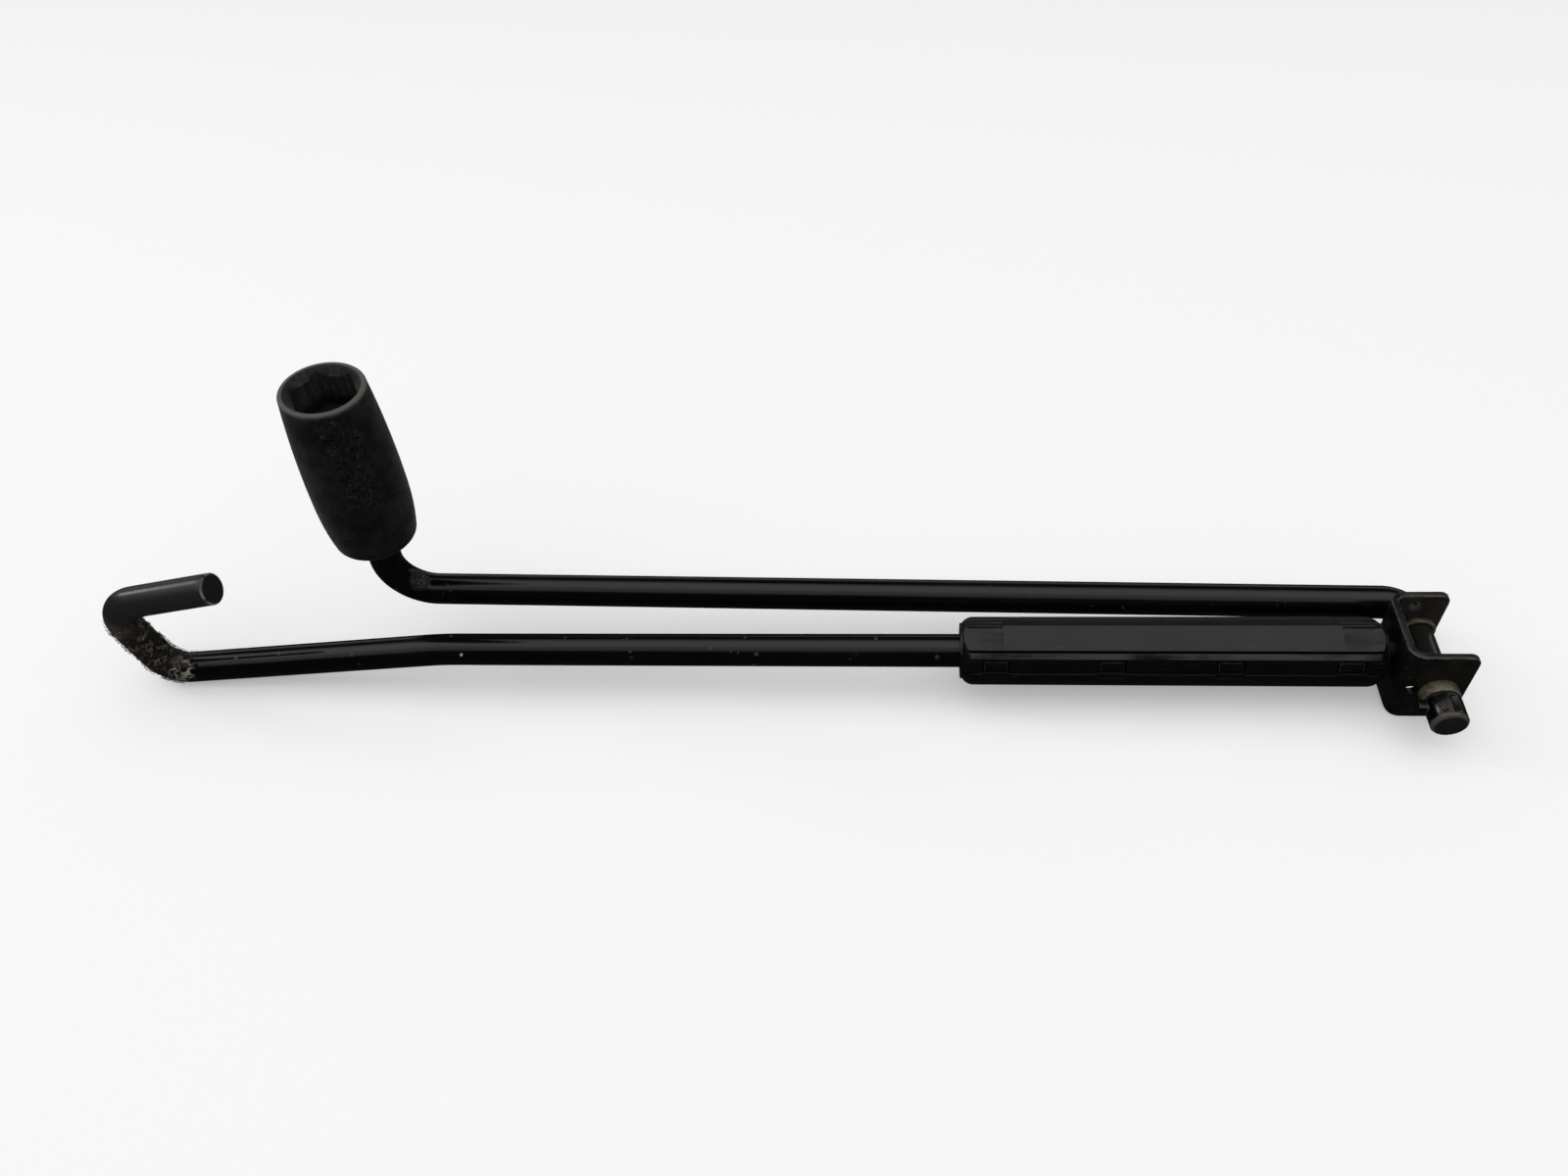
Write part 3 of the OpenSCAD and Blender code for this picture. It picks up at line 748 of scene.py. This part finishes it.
def sleeve_finish():
    """Satin black moulded plastic: faint flow grain, handling shine, edges rubbed lighter with a
    painted highlight along them, and a painted highlight along the ridge.
    """
    f = Finish("satin_sleeve_plastic")
    grain = f.noise(0.22, 2, 0.6)
    flow = f.noise(9, 3, 0.5, stretch=(0.25, 1, 1))
    handled = f.patches(0.4, 0.65, 14, 3, 0.55)
    scratch = f.patches(0.64, 0.72, 0.9, 3, 0.65, stretch=(0.08, 1.4, 1.4), twist=0.7)
    # Lighter edges: rubbed plastic, with a painted highlight.
    rubbed = f.attribute("rubbed_edge") * f.patches(0.3, 0.6, 3, 3, 0.6)
    # Lighter ridge: a painted highlight.
    ridge = f.attribute("ridge") * f.patches(0.25, 0.6, 6, 3, 0.6, stretch=(0.3, 1, 1))
    colour = f.coats(
        (0.0012, 0.0012, 0.0013),
        (flow, (0.0028, 0.0029, 0.003)),
        (ridge * 0.8, (0.065, 0.065, 0.065)),
        (scratch * 0.3, (0.06, 0.06, 0.06)),
        (rubbed * 0.6, (0.07, 0.071, 0.072)))
    rough = 0.30 + 0.08 * flow - 0.06 * handled + 0.06 * grain
    layers = [(flow, 0.14), (grain, 0.005), (f.noise(3.5, 2, 0.5, stretch=(0.4, 1, 1)), 0.07)]
    return f.surface(colour, rough, layers)


# Rods

def hook_route(bar):
    """Grows a bar from the bracket's end of the shank round to the end of the hook's pin."""
    bar.run(SHANK_RUN - 0.6, 60)
    bar.bend(JOG_TURN, JOG_BEND_R, (0, 0, -1), 6)
    bar.run(JOG_RUN, 60)
    bar.bend(LOW_TURN, LOW_BEND_R, (0, 0, 1), 44)
    bar.run(UPRIGHT_RUN, 40)
    bar.bend(TOP_TURN, TOP_BEND_R, (1, 0, 0), 44)
    bar.run(HOOK_PIN_RUN - END_CHAMFER, 12)


def hook_rod(finish):
    """Shank, jog and hook, from the tip in the bracket round to the sawn end."""
    bar = Bar(ON_SHANK @ Vector((SHANK_TIP * MM, 0, 0)), (-1, 0, 0), ROD_R - 0.6)
    bar.run(0.6, 1, ROD_R)
    hook_route(bar)
    bar.run(0.15, 1, ROD_R - 0.05)
    bar.run(END_CHAMFER - 0.15, 1, ROD_R - END_CHAMFER)
    bar.cap()
    finish_piece("hook_rod_painted", bar.bm, finish, "handle", "hook_rod")


def socket_rod(finish):
    """Side bend beside the bracket, arm and elbow, up into the barrel."""
    axes = ON_ARM.to_3x3()
    bar = Bar(ON_ARM @ Vector((0, SHOULDER_Y * MM, 0)), axes @ Vector((0, 1, 0)), ROD_R - 0.25)
    bar.run(0.25, 1, ROD_R)
    bar.run(0.25, 1)
    bar.bend(90, SIDE_BEND_R, axes @ Vector((-1, 0, 0)), 22)
    bar.run(ARM_RUN, 70)
    bar.bend(ELBOW_TURN, ELBOW_R, axes @ Vector((0, 0, 1)), 22)
    bar.run(NECK_RUN + ROD_SEAT - END_CHAMFER, 14)
    bar.run(END_CHAMFER, 1, ROD_R - END_CHAMFER)
    bar.cap()
    finish_piece("socket_rod_painted", bar.bm, finish, "socket_arm", "socket_rod")


def caked_dirt(finish):
    """Felt of dirt on the hook's upright: a skin over the rod, raised in tufts, ragged-edged."""
    bar = Bar(ON_SHANK @ Vector(((SHANK_TIP - 0.6) * MM, 0, 0)), (-1, 0, 0), ROD_R, 96)
    hook_route(bar)
    crust = bar.bm.verts.layers.float.new("crust")
    bar.bm.normal_update()
    heart, chalk = SHANK + Vector(DIRT_AT) * MM, SHANK + Vector(CHALK_AT) * MM
    lifts = {}
    for v in bar.bm.verts:
        spot = v.co / MM
        reach = (v.co - heart).length / MM + 5 * noise.noise(spot * 0.22)
        chalky = max(0, 1 - (v.co - chalk).length / MM / CHALK_REACH)
        cover = min(max((DIRT_REACH - reach) / DIRT_FADE, 0), 1)
        cover = max(cover, min(1, 1.6 * chalky * (0.5 + noise.noise(spot * 0.6))))
        tufts = max(0, 0.5 + 0.5 * noise.fractal(spot * 0.9, 0.9, 2.1, 4))
        lifts[v] = cover * (0.12 + 0.75 * tufts + 0.25 * noise.noise(spot * 2.2)) - DIRT_SUNK
        v[crust] = min(1, max(0, lifts[v] + 0.1))
    for v, lift in lifts.items():
        v.co = kept_inside(v.co + v.normal * min(lift, DIRT_MOST) * MM)
    sunk = [f for f in bar.bm.faces if all(lifts[v] < TUCKED_IN for v in f.verts)]
    bmesh.ops.delete(bar.bm, geom=sunk, context="FACES")
    finish_piece("hook_caked_dirt", bar.bm, finish, "handle", sharp=70)
    return bar.trail


def lint(trail, finish):
    """Curled fibres that lie on the dirt, each a thin tube along its own wandering line."""
    chance = random.Random(11)
    bend = [i for i, (centre, _) in enumerate(trail)
            if centre.x < SHANK.x - 371 * MM and centre.z < SHANK.z + 17 * MM]
    curve = bpy.data.curves.new("lint", "CURVE")
    curve.dimensions = "3D"
    curve.bevel_depth = LINT_R * MM
    curve.bevel_resolution = 0
    curve.use_fill_caps = True
    for _ in range(STRANDS):
        along, round_it = float(chance.choice(bend)), chance.uniform(0, 2 * pi)
        course, curl = chance.uniform(0, 2 * pi), chance.uniform(-0.8, 0.8)
        off = chance.uniform(0.25, 0.6)
        places = []
        for k in range(chance.randint(6, 13)):
            if not bend[0] <= along <= bend[-1]:
                break
            centre, heading = trail[int(along)]
            side = Vector((0, 1, 0))
            over = heading.cross(side)
            lift = off + 0.2 * sin(1.3 * k + course)
            place = centre + (side * cos(round_it) + over * sin(round_it)) * (ROD_R + lift) * MM
            places.append(kept_inside(place, LINT_R))
            along += 1.3 * cos(course)
            round_it += 0.1 * sin(course)
            course += curl
        if len(places) > 3:
            line = curve.splines.new("POLY")
            line.points.add(len(places) - 1)
            for point, place in zip(line.points, places):
                point.co = (*place, 1)
    holder = placed("lint", curve)
    graph = bpy.context.evaluated_depsgraph_get()
    strands = bmesh.new()
    strands.from_mesh(holder.evaluated_get(graph).to_mesh())
    bpy.data.objects.remove(holder)
    bpy.data.curves.remove(curve)
    finish_piece("hook_lint", strands, finish, "handle", sharp=60)


def hinge_pin(finish):
    """Journal and upset head, with the pinched lug, the punched groove and the dimple."""
    end = HEAD_Y - HEAD_LEN
    shape = lathe([(HEAD_R - 0.8, end), (HEAD_R - 0.35, end + 0.25), (HEAD_R, end + 0.8),
                   (HEAD_R, HEAD_Y - 0.4), (HEAD_R - 0.3, HEAD_Y), (JOURNAL_R, HEAD_Y),
                   (JOURNAL_R, SHOULDER_Y + 0.1)], 72)
    lug = block((-HEAD_R - LUG_OUT, -LUG_HALF, HEAD_Y - LUG_LEN), (0, LUG_HALF, HEAD_Y - 0.05))
    round_edges(lug, LUG_ROUND, sharper_than(30), 3)
    groove = drum(PUNCH_R, HEAD_Y - PUNCH_FROM, HEAD_Y - PUNCH_TO, 32)
    moved(groove, turn(PUNCH_TURN, "Z") @ shift(HEAD_R + PUNCH_OUT, 0, 0))
    dimple = drum(0.3, HEAD_R - DIMPLE_DEEP, HEAD_R + 0.2, 24, DIMPLE_R)
    moved(dimple, shift(DIMPLE_X, 0, HEAD_Y - DIMPLE_DOWN) @ turn(-90, "X"))
    head = carve(shape, ("UNION", lug), ("DIFFERENCE", groove), ("DIFFERENCE", dimple))
    soften(head, 0.18, 35)
    # the pin was drawn along Z with its top towards Y
    moved(head, ON_ARM @ Matrix(((1, 0, 0, 0), (0, 0, 1, 0), (0, 1, 0, 0), (0, 0, 0, 1))))
    finish_piece("hinge_pin_head", head, finish, "socket_arm")


# Bracket and bushes

def side_view(reach):
    """The bracket's outline seen from the side, as far as one ear reaches, drawn right across."""
    outline = block((0, -14, -DROP), (reach, 14, RISE))
    round_edges(outline, HEEL_R, corner_at(0, -DROP), 5)
    round_edges(outline, TIP_R, corner_at(reach, -DROP), 8)
    round_edges(outline, TIP_R, corner_at(reach, RISE), 8)
    return outline


def bracket(finish):
    """Strip bent to a channel, rounded ears, holes for shank, bushes and location."""
    strip = block((0, -EAR_Y, -16), (NEAR_REACH + 2, EAR_Y, 14))
    round_edges(strip, BEND_R, upright_at(0), 10)
    hollow = block((PLATE, PLATE - EAR_Y, -17), (NEAR_REACH + 4, EAR_Y - PLATE, 15))
    round_edges(hollow, BEND_R - PLATE, upright_at(PLATE), 8)
    near_half = block((-1, -15, -16), (NEAR_REACH + 3, 0.01, 14))
    far_half = block((-1, 0, -16), (NEAR_REACH + 3, 15, 14))
    outline = carve(carve(side_view(NEAR_REACH), ("INTERSECT", near_half)),
                    ("UNION", carve(side_view(FAR_REACH), ("INTERSECT", far_half))))
    across = turn(90, "X")
    (far_x, far_z), (near_x, near_z) = FAR_HOLE, NEAR_HOLE
    holes = [
        moved(drum(ROD_R + 0.02, -1, 4, 48), turn(90, "Y")),
        moved(drum(BUSH_R + 0.02, -16, 16, 56), shift(PIN_X, 0, PIN_Z) @ across),
        moved(drum(FAR_HOLE_R, -16, -6, 36), shift(far_x, 0, far_z) @ across),
        moved(drum(NEAR_HOLE_R, 6, 16, 36), shift(near_x, 0, near_z) @ across),
    ]
    plate = carve(strip, ("DIFFERENCE", hollow), ("INTERSECT", outline),
                  *[("DIFFERENCE", hole) for hole in holes])
    rims = ((PIN_X, PIN_Z, BUSH_R), (far_x, far_z, FAR_HOLE_R), (near_x, near_z, NEAR_HOLE_R))

    def on_rim(v):
        """True at the holes, whose rims stay sharp."""
        if v.co.x < (PLATE + 0.1) * MM and v.co.yz.length < (ROD_R + 0.2) * MM:
            return True
        return any((v.co.xz - Vector((x, z)) * MM).length < (r + 0.2) * MM for x, z, r in rims)

    soften(plate, EDGE_ROUND, 40, on_rim)
    moved(plate, ON_SHANK)
    finish_piece("hinge_bracket_painted", plate, finish, "handle",
                 "hinge_bracket")


def weld(finish):
    """Fillet round the shank's tip on the inner face of the web, laid in short ripples."""
    hollow = ((0, 0), (1, 0), (0.91, 0.18), (0.62, 0.34), (0.38, 0.58), (0.22, 0.97), (0, 1))
    bead = ring([(ROD_R + 0.02 + WELD_LEG * out, WELD_LEG * up) for out, up in hollow], 120)
    for v in bead.verts:
        ripple = sin(24 * v.co.xy.angle_signed(Vector((1, 0)), 0))
        v.co.z *= 1 + 0.045 * ripple + 0.06 * noise.noise(v.co / MM * 0.9)
    moved(bead, ON_SHANK @ shift(PLATE, 0, 0) @ turn(90, "Y"))
    finish_piece("bracket_weld_bead", bead, finish, "handle", "bracket_weld", 60)


def bush(name, node, seat, flange, finish):
    """Flanged bush: its barrel in the ear, its flange against the face, rims broken."""
    shape = ring([(BUSH_BORE_R, -PLATE), (BUSH_R, -PLATE), (BUSH_R, 0), (FLANGE_R - 0.1, 0),
                  (FLANGE_R, 0.1), (FLANGE_R, flange - BUSH_RIM),
                  (FLANGE_R - 0.12, flange - 0.12), (FLANGE_R - BUSH_RIM, flange),
                  (BUSH_BORE_R + 0.25, flange), (BUSH_BORE_R, flange - 0.25)], 80)
    rubbed = shape.faces.layers.float.new("rubbed_edge")
    for face in shape.faces:
        middle = face.calc_center_median()
        if (middle.z > (flange - BUSH_RIM) * MM
                and middle.xy.length > (FLANGE_R - BUSH_RIM) * MM):
            face[rubbed] = 1.0
    moved(shape, ON_HINGE @ shift(0, seat, 0) @ turn(90, "X"))
    finish_piece(name, shape, finish, "handle", node)


# Wheel socket

def barrel_radius(z):
    if z > BELLY_H:
        return BELLY_R - (BELLY_R - MOUTH_R) * ((z - BELLY_H) / (SOCKET_LEN - BELLY_H)) ** 2
    return BELLY_R - (BELLY_R - BASE_R) * ((BELLY_H - z) / BELLY_H) ** 2.5


def barrel(finish):
    """Bellied barrel with the hexagon sunk from its mouth, and the bore below for the rod."""
    base_round, lip = 1.6, 0.8
    outline = arc(barrel_radius(base_round) - base_round, base_round, base_round, -90, 0)
    heights = [base_round + (SOCKET_LEN - lip - base_round) * i / 40 for i in range(1, 40)]
    outline += [(barrel_radius(z), z) for z in heights]
    outline += arc(barrel_radius(SOCKET_LEN - lip) - lip, SOCKET_LEN - lip, lip, 0, 90)
    hexagon = moved(drum(HEX_CORNER_R, SOCKET_LEN - HEX_DEPTH, SOCKET_LEN + 2, 6), turn(90, "Z"))
    shape = carve(
        lathe(outline, 128),
        ("DIFFERENCE", drum(ROD_R + 0.02, -1, SOCKET_LEN - 5, 64)),
        ("DIFFERENCE", hexagon),
        ("DIFFERENCE", drum(HEX_CORNER_R - 1.1, SOCKET_LEN - LEAD_IN, SOCKET_LEN + 0.02, 96,
                            HEX_CORNER_R + 0.6)))
    soften(shape, 0.22, 32)
    moved(shape, ON_BASE)
    finish_piece("wheel_socket_barrel", shape, finish, "socket_arm",
                 "socket_head", 32)


# Sleeve

def section_radius(angle):
    """Outside radius of a shell at an angle from its snap edge."""
    if angle < BAND_END:
        return BAND_R
    angle = min(angle, 180 - angle)
    if abs(angle - GROOVE_AT) <= GROOVE_HALF:
        return GROOVE_R + (GRIP_R - GROOVE_R) * abs(angle - GROOVE_AT) / GROOVE_HALF
    if angle > GROOVE_AT:
        return FLAT_AT / cos(radians(angle - (90 - FLAT_HALF)))
    return GRIP_R


def sector(radii, heights, angles):
    """Part of a ring between two radii, two heights and two angles less than 180 apart."""
    (inner, outer), (low, high), (start, end) = radii, heights, angles
    whole = ring([(inner, low), (outer, low), (outer, high), (inner, high)], 240)
    after_start = moved(block((-30, 0, low - 1), (30, 30, high + 1)), turn(start, "Z"))
    before_end = moved(block((-30, -30, low - 1), (30, 0, high + 1)), turn(end, "Z"))
    return carve(whole, ("INTERSECT", after_start), ("INTERSECT", before_end), flat=0.2)


def shell_blank():
    """The section of one shell, drawn out to the sleeve's length."""
    corners = [BAND_END - 0.02, BAND_END + 0.02]
    for middle in (GROOVE_AT, 180 - GROOVE_AT):
        corners += [middle - GROOVE_HALF, middle, middle + GROOVE_HALF]
    angles = [1.5 * i for i in range(121) if all(abs(1.5 * i - a) > 0.7 for a in corners)]
    angles += corners
    outside = [(section_radius(a), a) for a in sorted(angles)]
    inside = [(CAVITY_R, a) for a in range(180, -1, -3)]
    bm = bmesh.new()
    face = bm.faces.new([bm.verts.new((r * MM * cos(radians(a)), r * MM * sin(radians(a)), 0))
                         for r, a in outside + inside])
    grown = bmesh.ops.extrude_face_region(bm, geom=[face])["geom"]
    bmesh.ops.translate(bm, verts=[g for g in grown if isinstance(g, bmesh.types.BMVert)],
                        vec=(0, 0, GRIP_LEN * MM))
    return bm


def inner_walls():
    """Half discs that close the ends down to the rod, and ribs that run on it."""
    for low, high in INNER_WALLS:
        disc = ring([(ROD_R + 0.1, low), (CAVITY_R + 0.1, low), (CAVITY_R + 0.1, high),
                     (ROD_R + 0.1, high)], 96)
        yield "UNION", carve(disc, ("INTERSECT", block((-12, 0, low - 1), (12, 12, high + 1))))


def band_ribs():
    """Three short ribs at each end of the snap band."""
    first, last = WINDOWS[0] - WINDOW_LEN / 2 - 1, WINDOWS[-1] + WINDOW_LEN / 2 + 1
    for heights in ((1.2, first), (last, GRIP_LEN - 1.2)):
        for middle in (8, 15, 22):
            yield "UNION", sector((BAND_R - 0.3, GRIP_R - 0.25), heights,
                                  (middle - 1.5, middle + 1.5))


def snap_windows():
    """Windows in the band, strips over the parting line and notches for the twin's strips."""
    for z in WINDOWS:
        window = (z - WINDOW_LEN / 2, z + WINDOW_LEN / 2)
        notch = (window[0] - 0.12, window[1] + 0.12)
        yield "DIFFERENCE", sector((CAVITY_R - 1, GRIP_R + 1), window, (WINDOW_FROM, WINDOW_TO))
        yield "DIFFERENCE", sector((GRIP_R - STRIP_T - 0.12, GRIP_R + 1), notch,
                                   (179 + STRIP_END, 185))
        yield "UNION", sector((GRIP_R - STRIP_T, GRIP_R - 0.1), window,
                              (STRIP_END, WINDOW_FROM - 0.1))


def end_steps():
    """Steps at both ends of the flats, deeper towards the top."""
    half = GRIP_R * sin(radians(FLAT_HALF)) - 0.35
    for low, high in ((-1, END_ZONE), (GRIP_LEN - END_ZONE, GRIP_LEN + 1)):
        for side in (1, -1):
            for k in range(3):
                start = -half + 2 * half * k / 3
                cut = block((FLAT_AT - STEP * (k + 1), start, low),
                            (GRIP_R + 2, start + 2 * half / 3 + 0.002, high))
                moved(cut, Matrix.Scale(side, 4, (1, 0, 0)) @ turn(90 - FLAT_HALF, "Z"))
                yield "DIFFERENCE", cut


def shell():
    """One half of the sleeve: sunk snap band, ridge, two flats with stepped ends, windows."""
    envelope = lathe(arc(GRIP_R - GRIP_ROUND, GRIP_ROUND, GRIP_ROUND, -90, 0, 10)
                     + arc(GRIP_R - GRIP_ROUND, GRIP_LEN - GRIP_ROUND, GRIP_ROUND, 0, 90, 10), 180)
    form = carve(shell_blank(), ("INTERSECT", envelope), flat=0.3)
    for steps in (inner_walls, band_ribs, snap_windows, end_steps):
        form = carve(form, *steps(), flat=0.3)
    # Marks the ridge's faces, which the sleeve's finish paints with a highlight.
    ridge = form.faces.layers.float.new("ridge")
    for face in form.faces:
        middle = face.calc_center_median()
        angle = degrees(atan2(middle.y, middle.x))
        if BAND_END < angle < GROOVE_AT - GROOVE_HALF and middle.xy.length > (GRIP_R - 0.2) * MM:
            face[ridge] = 1.0
    round_edges(form, 0.15, sharper_than(24), 2)
    return form


def latch_fingers():
    """The twin shell's latch fingers, whose noses fill the windows."""
    parts = bmesh.new()
    for z in WINDOWS:
        finger = sector((CAVITY_R - 1.25, BAND_R - 0.25), (z - 3.4, z + 3.4),
                        (WINDOW_FROM + 2.4, WINDOW_TO - 2.4))
        soften(finger, 0.2, 30)
        mesh = bpy.data.meshes.new("finger")
        finger.to_mesh(mesh)
        finger.free()
        parts.from_mesh(mesh)
        bpy.data.meshes.remove(mesh)
    return parts


# The crank

hook_rod(hook_rod_finish())
socket_rod(socket_rod_finish())
lint(caked_dirt(felt_finish()), lint_finish())
hinge_pin(pin_finish())
bracket(bracket_finish())
weld(weld_finish())
olive_steel = bush_finish()
bush("far_bush_turned", "far_bush", EAR_Y - PLATE, FAR_FLANGE, olive_steel)
bush("near_bush_turned", "near_bush", -EAR_Y, NEAR_FLANGE, olive_steel)
barrel(socket_finish())
plastic = sleeve_finish()
half, fingers = shell(), latch_fingers()
for side, turned in (("upper", 0), ("lower", 180)):
    finish_piece(f"sleeve_shell_{side}", moved(half.copy(), on_sleeve(turned)), plastic, "sleeve",
                 f"grip_shell_{side}", 30)
    finish_piece(f"latch_fingers_{side}", moved(fingers.copy(), on_sleeve(turned)), plastic,
                 "sleeve", sharp=30)


# Floor, light and camera

def pale_floor():
    """A plain floor just below the crank: white to the camera, dim in the paint's gloss."""
    sheet = bmesh.new()
    bmesh.ops.create_grid(sheet, x_segments=1, y_segments=1, size=6,
                          matrix=Matrix.Translation((0, 0, cad_box[0][2] - 0.2 * MM)))
    floor = solidified("floor", sheet)
    pale = bpy.data.materials.new("pale_floor")
    nodes = Nodes(pale)
    matt = nodes.shader("BsdfDiffuse", (0.8, 0.8, 0.8))
    glow = nodes.shader("Emission", (1, 1, 1), 0.3)
    lifted = nodes.node("AddShader", None, {0: matt, 1: glow})["Shader"]
    dim = nodes.shader("Emission", (0.02, 0.02, 0.02))
    nodes.surround(lifted, dim, matt, "OutputMaterial")
    floor.data.materials.append(pale)


def studio_world():
    """A soft even surround: white to the camera, and in gloss white low down at the back."""
    world = bpy.data.worlds.new("studio")
    scene.world = world
    nodes = Nodes(world)
    outlook = nodes.node("TexCoord")["Generated"]
    ahead = nodes.node("SeparateXYZ", None, {0: outlook})
    low_at_back = nodes.step(ahead["Z"], 0.36, 0.2) * nodes.step(ahead["Y"], 0.25, 0.6)
    gloss = nodes.node("Background", None,
                       {"Strength": 0.022 + 0.5 * low_at_back})["Background"]
    nodes.surround(nodes.shader("Background", (1, 1, 1)), gloss,
                   nodes.shader("Background", (0.3, 0.3, 0.305)),
                   "OutputWorld")


def panel(name, place, aim, width, depth, radiance):
    """A soft rectangular lamp; its power follows from the brightness of its face."""
    lamp = bpy.data.lights.new(name, "AREA")
    lamp.shape = "RECTANGLE"
    lamp.size, lamp.size_y = width, depth
    lamp.energy = radiance * pi * width * depth
    obj = placed(name, lamp)
    away = (Vector(place) - Vector(aim)).normalized()
    side = Vector((0, 1, 0)).cross(away).normalized()
    obj.matrix_world = Matrix.Translation(place) @ Matrix(
        (side, away.cross(side), away)).transposed().to_4x4()


def camera():
    """The photograph's view: the lens, and where it stands from the shank's frame."""
    data = bpy.data.cameras.new("camera")
    data.sensor_width = SENSOR
    data.lens = LENS
    data.clip_start = 0.01
    data.clip_end = 50
    obj = placed("camera", data)
    right, ahead = Vector(CAMERA_RIGHT).normalized(), Vector(CAMERA_AHEAD).normalized()
    facing = Matrix((right, right.cross(ahead).normalized(), -ahead)).transposed().to_4x4()
    obj.matrix_world = ON_SHANK @ shift(*CAMERA_AT) @ facing
    scene.camera = obj


pale_floor()
studio_world()
for name, front, back, height, radiance in CEILING:
    middle = (front + back) / 2
    panel(name, (0, middle, height), (0, middle, 0), CEILING_WIDTH, back - front, radiance)
panel("left_lamp", (-1.5, 0.5, 0.9), (-0.1, 0, 0.03), 0.35, 0.35, 6.0)
camera()
scene.view_settings.view_transform = "Standard"
